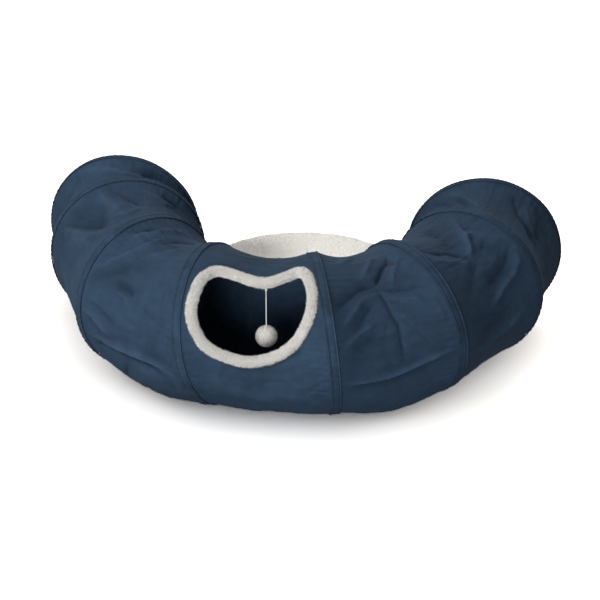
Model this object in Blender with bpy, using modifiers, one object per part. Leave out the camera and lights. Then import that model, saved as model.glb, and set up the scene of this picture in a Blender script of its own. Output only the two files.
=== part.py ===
"""Half-ring cat tunnel. Eight wire hoops in fabric casings carry seven fabric panels, bent round a plush mat.
The middle panel has a peephole with a fleece rim, and a toy on a string hangs inside it.
Metres, +Z up. The origin is the mat's centre on the floor, the front is at -Y and both open ends face +Y."""

import math

import bmesh
import bpy
from mathutils import Matrix, Vector

# Driving sizes of the half ring
RING_RADIUS = 0.322
HOOP_RADIUS = 0.135
FIT_GAP = 0.0003
CUT_OVERRUN = 0.03
MERGE_DISTANCE = 0.00005
SHARP_ANGLE = math.radians(50)
CURVE_STEP_COUNT = 2

# Each hoop: degrees round the mat from the front, degrees its top leans to the left,
# and its pull towards the mat
PULLED_IN = 0.014
HOOPS = {
    "left_0": (-91.0, 3.0, 0.0),
    "left_1": (-74.0, 4.0, PULLED_IN),
    "left_2": (-46.5, 4.0, 0.0),
    "left_3": (-15.0, 11.0, 0.0),
    "right_3": (15.5, 4.5, 0.0),
    "right_2": (44.5, 5.5, 0.0),
    "right_1": (69.5, -1.0, 0.0),
    "right_0": (91.0, -2.0, 0.0),
}
AROUND = 28

# Hoop wire, and the fabric casing that is sewn over it
WIRE_DIAMETER = 0.003
WIRE_SIDES = 6
CASING_WIDTH = 0.017
CASING_THICKNESS = 0.0012
END_FLANGE = 0.006

# Panels: name, hoop at its left, hoop at its right, rows of faces between the casings
PANELS = (
    ("panel_left_cuff", "left_0", "left_1", 4),
    ("panel_left_outer", "left_1", "left_2", 6),
    ("panel_left_inner", "left_2", "left_3", 6),
    ("panel_centre", "left_3", "right_3", 7),
    ("panel_right_inner", "right_3", "right_2", 6),
    ("panel_right_outer", "right_2", "right_1", 6),
    ("panel_right_cuff", "right_1", "right_0", 4),
)
FABRIC_THICKNESS = 0.0016
SIDE_SAG = 0.005
TOP_SAG = 0.013
PLEAT_HEIGHT = 0.004
PLEATS = 1.5
FOLD_HEIGHT = 0.008
FOLD_WIDTH = 0.022
NORMAL_STEP_SHARE = 0.004

# Slack fabric of the front's low side, which sags outwards between the hoops
LOW_SAG = 0.020
LOW_SAG_SHARES = {"panel_left_inner": 1.0, "panel_centre": 0.5, "panel_right_inner": 1.0}
LOW_START_SHARE = 0.208
LOW_END_SHARE = 0.467
LOW_POWER = 1.6

# Folds of each panel: height and width as shares of the fold sizes, then a line of
# (share of the way from the left hoop to the right one, share of a turn from the top towards the front)
FOLD_SHARES = {
    "panel_left_cuff": (
        (0.5, 0.9, ((0.2, -0.15), (0.6, 0.0), (0.5, 0.15))),
        (-0.5, 0.9, ((0.5, -0.3), (0.45, -0.1))),
    ),
    "panel_left_outer": (
        (-0.8, 1.0, ((0.1, 0.14), (0.7, 0.06))),
        (0.7, 1.0, ((0.05, 0.1), (0.45, 0.03), (0.3, -0.08))),
    ),
    "panel_left_inner": (
        (-1.1, 0.7, ((0.05, 0.285), (0.45, 0.295), (0.85, 0.3))),
        (0.8, 1.0, ((0.1, 0.13), (0.45, 0.07), (0.75, -0.04))),
        (0.8, 1.0, ((0.1, 0.34), (0.5, 0.36), (0.9, 0.37))),
    ),
    "panel_centre": ((-0.6, 1.4, ((0.4, -0.08), (0.6, 0.02))),),
    "panel_right_inner": (
        (-1.1, 0.7, ((0.0, 0.275), (0.45, 0.27), (0.9, 0.245))),
        (0.8, 1.0, ((0.1, 0.35), (0.5, 0.35), (0.9, 0.33))),
        (-1.6, 0.9, ((0.8, -0.02), (0.55, 0.06), (0.3, 0.09), (0.1, 0.125))),
        (0.9, 1.0, ((0.15, 0.0), (0.4, 0.0), (0.6, -0.06))),
    ),
    "panel_right_outer": (
        (-0.9, 0.8, ((0.3, 0.08), (0.6, 0.06), (0.95, 0.1))),
        (0.9, 1.0, ((0.9, 0.11), (0.7, 0.16), (0.4, 0.19))),
    ),
    "panel_right_cuff": ((0.5, 0.8, ((0.1, 0.1), (0.5, 0.13), (0.85, 0.25))),),
}

# Peephole: the middle of its rim as shares, like the folds' lines
RIM_DIAMETER = 0.018
RIM_CLEARANCE = 0.0007
RIM_POINTS = 48
RIM_SHARES = (
    (0.072, 0.145),
    (0.083, 0.107),
    (0.108, 0.067),
    (0.195, 0.040),
    (0.34, 0.0445),
    (0.556, 0.0575),
    (0.705, 0.0435),
    (0.82, 0.024),
    (0.895, 0.030),
    (0.925, 0.062),
    (0.91, 0.095),
    (0.86, 0.137),
    (0.745, 0.186),
    (0.605, 0.221),
    (0.452, 0.2385),
    (0.315, 0.2325),
    (0.165, 0.2135),
    (0.092, 0.181),
)
HOLE_CENTRE_SHARES = (0.5, 0.13)

# Mat: plush cover over a filling, on a non-slip base
MAT_HEIGHT = 0.042
MAT_CLEARANCE = 0.004
MAT_SEAM_HEIGHT = 0.026
MAT_FOOT_INSET = 0.012
MAT_WAIST_INSET = 0.003
MAT_COVER_THICKNESS = 0.0025
MAT_BASE_THICKNESS = 0.0015
MAT_STEPS = 40
CROWN_SHARES = (0.0, 0.3, 0.55, 0.75, 0.89, 0.97)
CROWN_POWER = 2.6

# Tab on the mat that presses on a hook patch at the foot of the middle panel
PATCH_THICKNESS = 0.001
TAB_WIDTH_SHARE = 0.8
TAB_THICKNESS = 0.0012

# Toy: sewn tab with an eye, loop through the eye, knot, string and ball
TOY_SHARES = (0.58, 0.036)
TOY_TAB_WIDTH = 0.010
TOY_TAB_HEIGHT = 0.011
TOY_TAB_THICKNESS = 0.0012
TOY_TAB_CUTS = 7
TOY_EYE_RADIUS = 0.0022
TOY_EYE_MARGIN = 0.0035
TOY_EYE_SIDES = 12
EYE_FLAT_SHARE = 0.96
LOOP_RADIUS = 0.0042
LOOP_SEGMENTS = 14
LOOP_SIDES = 6
KNOT_RADIUS = 0.0026
STRING_DIAMETER = 0.0014
STRING_LENGTH = 0.07
BALL_RADIUS = 0.018
BALL_SEGMENTS = 16
BALL_RINGS = 10

NAVY = (0.022, 0.040, 0.078)
DARK_NAVY = (0.016, 0.030, 0.060)
FLEECE = (0.76, 0.72, 0.66)
PLUSH = (0.62, 0.57, 0.52)
BLACK = (0.03, 0.03, 0.033)
STEEL = (0.55, 0.55, 0.56)
WHITE = (0.82, 0.82, 0.80)

# A hoop's own axes at the front: X up, Y away from the mat, Z to the right
HOOP_AXES = Matrix(((0, 0, 1), (0, -1, 0), (1, 0, 0))).to_4x4()


def clear_scene():
    for item in list(bpy.data.objects):
        bpy.data.objects.remove(item, do_unlink=True)


def new_collection(name):
    made = bpy.data.collections.new(name)
    bpy.context.scene.collection.children.link(made)
    return made


def new_material(name, color, roughness, metallic=0.0):
    made = bpy.data.materials.new(name)
    made.use_nodes = True
    shader = made.node_tree.nodes["Principled BSDF"]
    shader.inputs["Base Color"].default_value = (*color, 1.0)
    shader.inputs["Roughness"].default_value = roughness
    shader.inputs["Metallic"].default_value = metallic
    return made


def add_object(name, data, collection, material, matrix=None):
    made = bpy.data.objects.new(name, data)
    if matrix is not None:
        made.matrix_world = matrix
    if material is not None:
        data.materials.append(material)
    collection.objects.link(made)
    return made


def mesh_from(name, shape):
    """A mesh with outward faces from a bmesh, shaded smooth but for its sharp edges."""
    bmesh.ops.recalc_face_normals(shape, faces=shape.faces)
    mesh = bpy.data.meshes.new(name)
    shape.to_mesh(mesh)
    shape.free()
    mesh.shade_smooth()
    mesh.set_sharp_from_angle(angle=SHARP_ANGLE)
    return mesh


def hoop_matrix(hoop):
    """A hoop stands on its casing, leans about its foot and lies in a plane through the mat's centre."""
    around, lean, pull = HOOPS[hoop]
    lean = math.radians(lean)
    foot_rise = CASING_WIDTH / 2 * abs(math.sin(lean))
    turned = Matrix.Rotation(math.radians(around), 4, "Z")
    placed = Matrix.Translation((0, pull - RING_RADIUS, foot_rise))
    leaned = Matrix.Rotation(lean, 4, Vector((0, -1, 0)))
    raised = Matrix.Translation((0, 0, HOOP_RADIUS))
    return turned @ placed @ leaned @ raised @ HOOP_AXES


def hoop_point(hoop, turn, radius, along):
    """A point at a share of a turn round a hoop from its top, along its axis to the right of its plane."""
    angle = math.tau * turn
    return hoop_matrix(hoop) @ Vector((radius * math.cos(angle), radius * math.sin(angle), along))


def fabric_radius():
    return HOOP_RADIUS - CASING_THICKNESS - FIT_GAP


def distance_to_line(point, line, scale):
    """Distance from a (share, turn) point to a line of such points, with both shares turned into metres."""
    place = Vector((point[0] * scale[0], point[1] * scale[1]))
    nearest = math.inf
    for start, end in zip(line, line[1:]):
        low = Vector((start[0] * scale[0], start[1] * scale[1]))
        step = Vector((end[0] * scale[0], end[1] * scale[1])) - low
        share = max(0.0, min(1.0, (place - low).dot(step) / step.length_squared))
        nearest = min(nearest, (low + step * share - place).length)
    return nearest


def fold_height(panel, share, turn, length):
    """Height of a panel's folds over its plain surface. They fade out at the casings."""
    fade = math.sin(math.pi * share)
    scale = (length, math.tau * fabric_radius())
    total = 0.0
    for height_share, width_share, line in FOLD_SHARES[panel]:
        for wrap in (-1.0, 0.0, 1.0):
            gap = distance_to_line((share, turn + wrap), line, scale) / (FOLD_WIDTH * width_share)
            total += FOLD_HEIGHT * height_share * math.exp(-gap * gap)
    inner = max(0.0, -math.sin(math.tau * turn))
    total += PLEAT_HEIGHT * inner * math.cos(math.tau * PLEATS * share)
    return total * fade


def low_sag(panel, share, turn):
    """How far the slack fabric of the front's low side hangs out."""
    way = (turn % 1 - LOW_START_SHARE) / (LOW_END_SHARE - LOW_START_SHARE)
    if not 0 < way < 1:
        return 0.0
    round_it = math.sin(math.pi * way**LOW_POWER) ** 2
    return LOW_SAG * LOW_SAG_SHARES.get(panel, 0.0) * round_it * math.sin(math.pi * share)


def panel_point(panel, left, right, share, turn, lift=0.0):
    """A point of a panel's outer face: straight between its casings, drawn in or sagging out, and folded."""
    low = hoop_point(left, turn, fabric_radius(), CASING_WIDTH / 2)
    high = hoop_point(right, turn, fabric_radius(), -CASING_WIDTH / 2)
    middle_low = hoop_point(left, turn, 0.0, CASING_WIDTH / 2)
    middle_high = hoop_point(right, turn, 0.0, -CASING_WIDTH / 2)
    place = low.lerp(high, share)
    outward = (place - middle_low.lerp(middle_high, share)).normalized()
    bulge = 4 * share * (1 - share)
    side = abs(math.sin(math.tau * turn))
    top = max(0.0, math.cos(math.tau * turn))
    drawn_in = bulge * (SIDE_SAG * side + TOP_SAG * top)
    folded = fold_height(panel, share, turn, (high - low).length)
    return place + outward * (folded + low_sag(panel, share, turn) - drawn_in + lift)


def panel_frame(panel, left, right, share, turn, lift=0.0):
    """A point of a panel's face with its outward normal there."""
    place = panel_point(panel, left, right, share, turn, lift)
    along = panel_point(panel, left, right, share + NORMAL_STEP_SHARE, turn, lift) - place
    round_it = panel_point(panel, left, right, share, turn + NORMAL_STEP_SHARE, lift) - place
    return place, round_it.cross(along).normalized()


def loft(rows, closed_around):
    """A bmesh surface through rows of points with the same count."""
    shape = bmesh.new()
    grid = [[shape.verts.new(point) for point in row] for row in rows]
    count = len(grid[0])
    last = count if closed_around else count - 1
    for low, high in zip(grid, grid[1:]):
        for i in range(last):
            following = (i + 1) % count
            shape.faces.new((low[i], low[following], high[following], high[i]))
    return shape


def add_thickness(item, thickness, offset):
    solid = item.modifiers.new("Thickness", "SOLIDIFY")
    solid.thickness = thickness
    solid.offset = offset
    solid.use_even_offset = True
    return solid


def make_panel(name, left, right, row_count, collection, material):
    """A fabric tube whose hems lie under both casings and end beside the wires."""
    hem = WIRE_DIAMETER / 2 + FIT_GAP
    turns = [i / AROUND for i in range(AROUND)]
    rows = [[hoop_point(left, turn, fabric_radius(), hem) for turn in turns]]
    for i in range(row_count + 1):
        rows.append([panel_point(name, left, right, i / row_count, turn) for turn in turns])
    rows.append([hoop_point(right, turn, fabric_radius(), -hem) for turn in turns])
    shape = loft(rows, closed_around=True)
    mesh = bpy.data.meshes.new(name)
    shape.to_mesh(mesh)
    shape.free()
    outward = mesh.polygons[0].center - hoop_matrix(left).translation
    if mesh.polygons[0].normal.dot(outward) < 0:
        mesh.flip_normals()
    mesh.shade_smooth()
    panel = add_object(name, mesh, collection, material)
    add_thickness(panel, FABRIC_THICKNESS, -1)
    return panel


def make_wire(hoop, collection, material):
    ring = fabric_radius() - WIRE_DIAMETER / 2
    bpy.ops.mesh.primitive_torus_add(
        major_segments=AROUND,
        minor_segments=WIRE_SIDES,
        major_radius=ring,
        minor_radius=WIRE_DIAMETER / 2,
    )
    wire = bpy.context.object
    wire.name = "hoop_" + hoop
    wire.data.name = wire.name
    wire.data.materials.append(material)
    wire.data.shade_smooth()
    wire.matrix_world = hoop_matrix(hoop)
    for old in list(wire.users_collection):
        old.objects.unlink(wire)
    collection.objects.link(wire)


def make_casing(hoop, collection, material):
    """A band of fabric turned round the hoop's axis. At an open end it also covers the wire's outer side."""
    half = CASING_WIDTH / 2
    inner = HOOP_RADIUS - CASING_THICKNESS
    profile = [(HOOP_RADIUS, half), (HOOP_RADIUS, -half), (inner, -half), (inner, half)]
    if hoop.endswith("_0"):
        end = WIRE_DIAMETER / 2 + FIT_GAP
        lip = HOOP_RADIUS - END_FLANGE
        skin = end + CASING_THICKNESS
        profile = [
            (HOOP_RADIUS, skin),
            (HOOP_RADIUS, -half),
            (inner, -half),
            (inner, end),
            (lip, end),
            (lip, skin),
        ]
        if hoop.startswith("left"):
            profile = [(radius, -along) for radius, along in reversed(profile)]
    mesh = bpy.data.meshes.new("casing_" + hoop)
    points = [(radius, 0, along) for radius, along in profile]
    edges = [(i, (i + 1) % len(points)) for i in range(len(points))]
    mesh.from_pydata(points, edges, [])
    casing = add_object("casing_" + hoop, mesh, collection, material, hoop_matrix(hoop))
    screw = casing.modifiers.new("Turn", "SCREW")
    screw.axis = "Z"
    screw.angle = math.tau
    screw.steps = AROUND
    screw.render_steps = AROUND
    screw.use_merge_vertices = True
    screw.merge_threshold = MERGE_DISTANCE
    screw.use_smooth_shade = True


def smooth_closed_line(points, count):
    """Points along a smooth closed curve through the given ones."""
    made = []
    total = len(points)
    for i in range(count):
        place = i / count * total
        start = int(place)
        t = place - start
        a, b, c, d = (Vector(points[(start + k) % total]) for k in (-1, 0, 1, 2))
        made.append(
            0.5 * (2 * b + (c - a) * t + (2 * a - 5 * b + 4 * c - d) * t**2 + (3 * b - a - 3 * c + d) * t**3)
        )
    return made


def rim_frames(panel):
    """The rim's middle line on the panel: each point with the panel's normal and the way out of the hole."""
    name, left, right, _ = panel
    shares = smooth_closed_line(RIM_SHARES, RIM_POINTS)
    frames = [
        panel_frame(name, left, right, share, turn, -FABRIC_THICKNESS / 2) for share, turn in shares
    ]
    made = []
    for i, (place, normal) in enumerate(frames):
        ahead = frames[(i + 1) % len(frames)][0] - frames[i - 1][0]
        made.append((place, normal, normal.cross(ahead).normalized()))
    middle = sum((place for place, _, _ in made), Vector()) / len(made)
    sign = 1 if sum(out.dot(place - middle) for place, _, out in made) > 0 else -1
    return [(place, normal, out * sign) for place, normal, out in made]


def make_rim(panel, collection, material):
    curve = bpy.data.curves.new("peephole_rim", "CURVE")
    curve.dimensions = "3D"
    curve.bevel_depth = RIM_DIAMETER / 2
    curve.bevel_resolution = CURVE_STEP_COUNT
    line = curve.splines.new("POLY")
    frames = rim_frames(panel)
    line.points.add(len(frames) - 1)
    for point, (place, _, _) in zip(line.points, frames):
        point.co = (*place, 1.0)
    line.use_cyclic_u = True
    add_object("peephole_rim", curve, collection, material)


def make_hole_cutter(panel, collection):
    """A plug whose wall stands just outside the rim, for cutting the peephole."""
    reach = RIM_DIAMETER / 2 + RIM_CLEARANCE
    frames = rim_frames(panel)
    outside = [place + out * reach + normal * CUT_OVERRUN for place, normal, out in frames]
    inside = [place + out * reach - normal * CUT_OVERRUN for place, normal, out in frames]
    shape = loft([inside, outside], closed_around=True)
    name, left, right, _ = panel
    place, normal = panel_frame(name, left, right, *HOLE_CENTRE_SHARES)
    walls = list(shape.verts)
    count = len(frames)
    for ring, height in ((walls[:count], -CUT_OVERRUN), (walls[count:], CUT_OVERRUN)):
        middle = shape.verts.new(place + normal * height)
        for i in range(count):
            shape.faces.new((ring[i], ring[(i + 1) % count], middle))
    cutter = add_object("peephole_cutter", mesh_from("peephole_cutter", shape), collection, None)
    cutter.hide_render = True
    cutter.display_type = "WIRE"
    return cutter


def cut(item, cutter):
    hole = item.modifiers.new("Hole", "BOOLEAN")
    hole.operation = "DIFFERENCE"
    hole.solver = "EXACT"
    hole.object = cutter


def make_turned(name, profile, collection, material):
    """A round body from (radius, height) points that start at the axis on top and end at the axis below."""
    mesh = bpy.data.meshes.new(name)
    edges = [(i, i + 1) for i in range(len(profile) - 1)]
    mesh.from_pydata([(radius, 0, height) for radius, height in profile], edges, [])
    made = add_object(name, mesh, collection, material)
    screw = made.modifiers.new("Turn", "SCREW")
    screw.axis = "Z"
    screw.angle = math.tau
    screw.steps = MAT_STEPS
    screw.render_steps = MAT_STEPS
    screw.use_merge_vertices = True
    screw.merge_threshold = MERGE_DISTANCE
    screw.use_smooth_shade = True
    return made


def mat_radius():
    """The mat stays clear of the tunnel's flank at the mat's own height."""
    flank = math.sqrt(HOOP_RADIUS**2 - (HOOP_RADIUS - MAT_HEIGHT) ** 2)
    return RING_RADIUS - flank - MAT_CLEARANCE


def mat_profile(inset):
    """Crowned top, seam at the widest place and a side drawn in below it, moved in by inset."""
    radius = mat_radius() - inset
    crown = MAT_HEIGHT - MAT_SEAM_HEIGHT - inset
    top = [
        (radius * share, MAT_SEAM_HEIGHT + crown * (1 - share**CROWN_POWER) ** (1 / CROWN_POWER))
        for share in CROWN_SHARES
    ]
    bottom = MAT_BASE_THICKNESS + FIT_GAP
    foot = radius - MAT_FOOT_INSET
    waist = (radius - MAT_WAIST_INSET, (MAT_SEAM_HEIGHT + bottom) / 2)
    return top + [(radius, MAT_SEAM_HEIGHT), waist, (foot, bottom)]


def make_mat(collection, cover_material, filling_material, base_material):
    outer = mat_profile(0.0)
    inner = mat_profile(MAT_COVER_THICKNESS)
    cover = outer + inner[::-1]
    make_turned("mat_cover", cover, collection, cover_material)
    filling = mat_profile(MAT_COVER_THICKNESS + FIT_GAP)
    bottom = filling[-1][1]
    make_turned("mat_filling", filling + [(0, bottom)], collection, filling_material)
    foot = outer[-1][0]
    base = [(0, MAT_BASE_THICKNESS), (foot, MAT_BASE_THICKNESS), (foot, 0), (0, 0)]
    make_turned("mat_base", base, collection, base_material)


def foot_quad(panel, width_share):
    """The face beside the foot of the middle panel, as its front and back edges, and its outward normal."""
    name, left, right, row_count = panel
    first = row_count // 2
    foot = AROUND // 2 + 1
    edges = []
    for column in (foot, foot + 1):
        low, high = (
            panel_point(name, left, right, row / row_count, column / AROUND) for row in (first, first + 1)
        )
        trim = (1 - width_share) / 2
        edges.append((low.lerp(high, trim), high.lerp(low, trim)))
    across = edges[0][1] - edges[0][0]
    normal = across.cross(edges[1][0] - edges[0][0]).normalized()
    if normal.z > 0:
        normal = -normal
    return edges, normal


def strap(name, sections, collection, material):
    """A flat strap through sections of four points each: upper left, upper right, lower right, lower left."""
    shape = loft(sections, closed_around=True)
    corners = list(shape.verts)
    shape.faces.new(corners[:4])
    shape.faces.new(corners[-4:])
    add_object(name, mesh_from(name, shape), collection, material)


def foot_sections(panel, width_share, depth, thickness):
    edges, normal = foot_quad(panel, width_share)
    sections = []
    for low, high in edges:
        top = [low + normal * depth, high + normal * depth]
        sections.append(top + [point + normal * thickness for point in reversed(top)])
    return sections


def make_mat_tab(panel, collection, material):
    """A hook patch sewn to the middle panel's foot, and the mat's tab, which presses on it."""
    strap("hook_patch", foot_sections(panel, 1.0, FIT_GAP, PATCH_THICKNESS), collection, material)
    depth = FIT_GAP * 2 + PATCH_THICKNESS
    sections = foot_sections(panel, TAB_WIDTH_SHARE, depth, TAB_THICKNESS)
    low, high = (sections[-1][i].x for i in (0, 1))
    radius = mat_radius() + FIT_GAP
    root = []
    for across, height in ((low, 0.5), (high, 0.5), (high, -0.5), (low, -0.5)):
        back = math.sqrt(radius**2 - across**2)
        root.append(Vector((across, -back, MAT_SEAM_HEIGHT + TAB_THICKNESS * height)))
    strap("mat_tab", sections + [root], collection, material)


def make_torus(name, place, radius, axis, collection, material):
    turned = Vector((0, 0, 1)).rotation_difference(axis).to_matrix().to_4x4()
    bpy.ops.mesh.primitive_torus_add(
        major_segments=LOOP_SEGMENTS,
        minor_segments=LOOP_SIDES,
        major_radius=radius,
        minor_radius=STRING_DIAMETER / 2,
    )
    made = bpy.context.object
    made.name = name
    made.data.name = name
    made.data.materials.append(material)
    made.data.shade_smooth()
    made.matrix_world = Matrix.Translation(place) @ turned
    for old in list(made.users_collection):
        old.objects.unlink(made)
    collection.objects.link(made)


def under(ceiling, place):
    """The point a fit gap below a panel's inner face, straight below a place on its outer face."""
    solid = ceiling.evaluated_get(bpy.context.evaluated_depsgraph_get())
    _, hit, _, _ = solid.ray_cast(place - Vector((0, 0, CUT_OVERRUN)), Vector((0, 0, 1)))
    return hit - Vector((0, 0, FIT_GAP))


def make_toy(panel, ceiling, collection, cutters, tab_material, string_material, ball_material):
    """The tab hangs from the ceiling, the loop goes through its eye, and the knot goes through the loop."""
    name, left, right, _ = panel
    above = panel_point(name, left, right, *TOY_SHARES)
    middle = under(ceiling, above) - Vector((0, 0, TOY_TAB_HEIGHT / 2))
    shape = bmesh.new()
    bmesh.ops.create_cube(shape, size=1.0)
    size = Vector((TOY_TAB_WIDTH, TOY_TAB_THICKNESS, TOY_TAB_HEIGHT))
    bmesh.ops.scale(shape, vec=size, verts=shape.verts)
    across = [edge for edge in shape.edges if edge.verts[0].co.x != edge.verts[1].co.x]
    bmesh.ops.subdivide_edges(shape, edges=across, cuts=TOY_TAB_CUTS, use_grid_fill=True)
    for corner in shape.verts:
        if corner.co.z > 0:
            corner.co.z = under(ceiling, above + corner.co).z - middle.z
    tab = add_object("toy_tab", mesh_from("toy_tab", shape), collection, tab_material)
    tab.location = middle
    eye = middle - Vector((0, 0, TOY_TAB_HEIGHT / 2 - TOY_EYE_MARGIN))
    shape = bmesh.new()
    bmesh.ops.create_cone(
        shape,
        cap_ends=True,
        segments=TOY_EYE_SIDES,
        radius1=TOY_EYE_RADIUS,
        radius2=TOY_EYE_RADIUS,
        depth=TOY_TAB_THICKNESS + CUT_OVERRUN * 2,
    )
    bmesh.ops.rotate(shape, matrix=Matrix.Rotation(math.radians(90), 3, "X"), verts=shape.verts)
    drill = add_object("toy_eye_cutter", mesh_from("toy_eye_cutter", shape), cutters, None)
    drill.location = eye
    drill.hide_render = True
    drill.display_type = "WIRE"
    cut(tab, drill)
    seat = STRING_DIAMETER / 2 + FIT_GAP
    loop = eye - Vector((0, 0, TOY_EYE_RADIUS * EYE_FLAT_SHARE - seat + LOOP_RADIUS))
    make_torus("toy_loop", loop, LOOP_RADIUS, Vector((1, 0, 0)), collection, string_material)
    hang = loop - Vector((0, 0, LOOP_RADIUS))
    knot = hang - Vector((0, 0, KNOT_RADIUS - 2 * seat))
    make_torus("toy_knot", knot, KNOT_RADIUS, Vector((0, 1, 0)), collection, string_material)
    start = knot - Vector((0, 0, KNOT_RADIUS + STRING_DIAMETER / 2 + FIT_GAP))
    end = start - Vector((0, 0, STRING_LENGTH))
    curve = bpy.data.curves.new("toy_string", "CURVE")
    curve.dimensions = "3D"
    curve.bevel_depth = STRING_DIAMETER / 2
    curve.bevel_resolution = CURVE_STEP_COUNT
    curve.use_fill_caps = True
    line = curve.splines.new("POLY")
    line.points.add(1)
    line.points[0].co = (*start, 1.0)
    line.points[1].co = (*end, 1.0)
    add_object("toy_string", curve, collection, string_material)
    shape = bmesh.new()
    bmesh.ops.create_uvsphere(shape, u_segments=BALL_SEGMENTS, v_segments=BALL_RINGS, radius=BALL_RADIUS)
    ball = add_object("toy_ball", mesh_from("toy_ball", shape), collection, ball_material)
    ball.location = end - Vector((0, 0, BALL_RADIUS + FIT_GAP))


def main():
    clear_scene()
    parts = new_collection("cat_tunnel")
    cutters = new_collection("cutters")
    suede = new_material("navy_suede", NAVY, 0.85)
    tape = new_material("navy_tape", DARK_NAVY, 0.8)
    fleece = new_material("fleece", FLEECE, 0.95)
    plush = new_material("plush", PLUSH, 0.95)
    filling = new_material("filling", WHITE, 0.95)
    non_slip = new_material("non_slip", BLACK, 0.7)
    steel = new_material("spring_steel", STEEL, 0.35, 1.0)
    string = new_material("white_elastic", WHITE, 0.8)
    for hoop in HOOPS:
        make_wire(hoop, parts, steel)
        make_casing(hoop, parts, tape)
    for panel in PANELS:
        made = make_panel(*panel, parts, suede)
        if panel[0] == "panel_centre":
            cut(made, make_hole_cutter(panel, cutters))
            make_rim(panel, parts, fleece)
            make_mat_tab(panel, parts, tape)
            make_toy(panel, made, parts, cutters, tape, string, fleece)
    make_mat(parts, plush, filling, non_slip)


main()
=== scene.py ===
"""Looks for the half-ring cat tunnel: draped suede panels on sewn hoop casings, fleece rim, plush mat and toy."""
import math

import bpy
import numpy as np
from mathutils import Matrix, Vector


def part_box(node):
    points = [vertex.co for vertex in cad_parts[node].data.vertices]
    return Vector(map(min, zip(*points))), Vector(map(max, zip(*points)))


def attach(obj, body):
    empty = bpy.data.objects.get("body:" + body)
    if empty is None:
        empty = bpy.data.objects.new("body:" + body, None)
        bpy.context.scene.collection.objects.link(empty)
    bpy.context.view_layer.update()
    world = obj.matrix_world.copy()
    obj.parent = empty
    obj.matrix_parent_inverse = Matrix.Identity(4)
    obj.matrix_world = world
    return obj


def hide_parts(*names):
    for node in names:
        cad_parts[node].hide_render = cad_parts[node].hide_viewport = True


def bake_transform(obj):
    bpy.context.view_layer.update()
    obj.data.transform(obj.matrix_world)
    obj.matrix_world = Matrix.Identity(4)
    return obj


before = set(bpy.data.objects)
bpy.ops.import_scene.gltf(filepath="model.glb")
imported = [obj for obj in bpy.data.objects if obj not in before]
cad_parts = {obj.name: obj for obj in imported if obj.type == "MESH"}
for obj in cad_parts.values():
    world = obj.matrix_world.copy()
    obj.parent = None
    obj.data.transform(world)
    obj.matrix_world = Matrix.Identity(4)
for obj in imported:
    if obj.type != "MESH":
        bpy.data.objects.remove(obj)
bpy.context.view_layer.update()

scene = bpy.context.scene

# Camera, fitted to the hoops and the mat in the photograph
CAMERA_AZIMUTH = 7.5
CAMERA_ELEVATION = 30.5
CAMERA_TARGET = Vector((0.024, -0.211, 0.135))
CAMERA_DISTANCE = 3.725
CAMERA_LENS = 132.0
SENSOR_WIDTH = 36.0
CAMERA_REACH = 50

# Stage: the floor's colour to the light and to the camera, the world's strength to both, and the lamps as
# name, place, size, watts and target
FLOOR_TO_LIGHT = (0.72, 0.72, 0.72)
FLOOR_TO_CAMERA = (7.3, 7.0, 6.63)
FLOOR_HALF_WIDTH = 6
FLOOR_HEIGHT = -0.0005
WORLD_TO_LIGHT = 0.25
WORLD_TO_CAMERA = 1.0
LAMPS = (
    ("key", (-2.2, -1.4, 2.3), 0.8, 88, (0.0, -0.2, 0.1)),
    ("fill", (-0.2, -3.0, 0.75), 1.4, 76, (0.0, -0.2, 0.1)),
    ("back", (0.3, 2.2, 2.3), 1.6, 42, (0.0, -0.1, 0.1)),
)

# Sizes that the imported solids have. Hoops: degrees round the mat, degrees of lean, and metres pulled in
RING_RADIUS = 0.322
HOOP_RADIUS = 0.135
FIT_GAP = 0.0003
HOOPS = {
    "left_0": (-91.0, 3.0, 0.0),
    "left_1": (-74.0, 4.0, 0.014),
    "left_2": (-46.5, 4.0, 0.0),
    "left_3": (-15.0, 11.0, 0.0),
    "right_3": (15.5, 4.5, 0.0),
    "right_2": (44.5, 5.5, 0.0),
    "right_1": (69.5, -1.0, 0.0),
    "right_0": (91.0, -2.0, 0.0),
}
CASING_WIDTH = 0.017
CASING_THICKNESS = 0.0012
WIRE_DIAMETER = 0.003
HEM = WIRE_DIAMETER / 2 + FIT_GAP
END_FLANGE = 0.006
FABRIC_THICKNESS = 0.0016
FABRIC_RADIUS = HOOP_RADIUS - CASING_THICKNESS - FIT_GAP
FABRIC_GIRTH = math.tau * FABRIC_RADIUS
SIDE_SAG = 0.005
TOP_SAG = 0.013
LOW_SAG = 0.020
LOW_SAG_SHARES = {"panel_left_inner": 1.0, "panel_centre": 0.5, "panel_right_inner": 1.0}
LOW_START_SHARE = 0.208
LOW_END_SHARE = 0.467
LOW_POWER = 1.6
RIM_DIAMETER = 0.018
MAT_HEIGHT = 0.042
MAT_CLEARANCE = 0.004
MAT_SEAM_HEIGHT = 0.026
MAT_BASE_THICKNESS = 0.0015

# Peephole: the middle of its rim as (share of the way between the hoops, share of a turn) pairs
RIM_SHARES = (
    (0.060, 0.145), (0.069, 0.109), (0.094, 0.070), (0.180, 0.0415), (0.335, 0.044), (0.560, 0.056),
    (0.715, 0.0415), (0.850, 0.024), (0.922, 0.030), (0.952, 0.062), (0.945, 0.097), (0.897, 0.137),
    (0.785, 0.187), (0.630, 0.2225), (0.452, 0.2385), (0.300, 0.233), (0.165, 0.2135), (0.092, 0.181),
)
RIM_FLATNESS = 0.74
RIM_STEPS, RIM_SIDES = 900, 56
RIM_SINK = 0.0019
RIM_FOLD_RADIUS = 0.39
RIM_FIBRES = 24000

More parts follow.
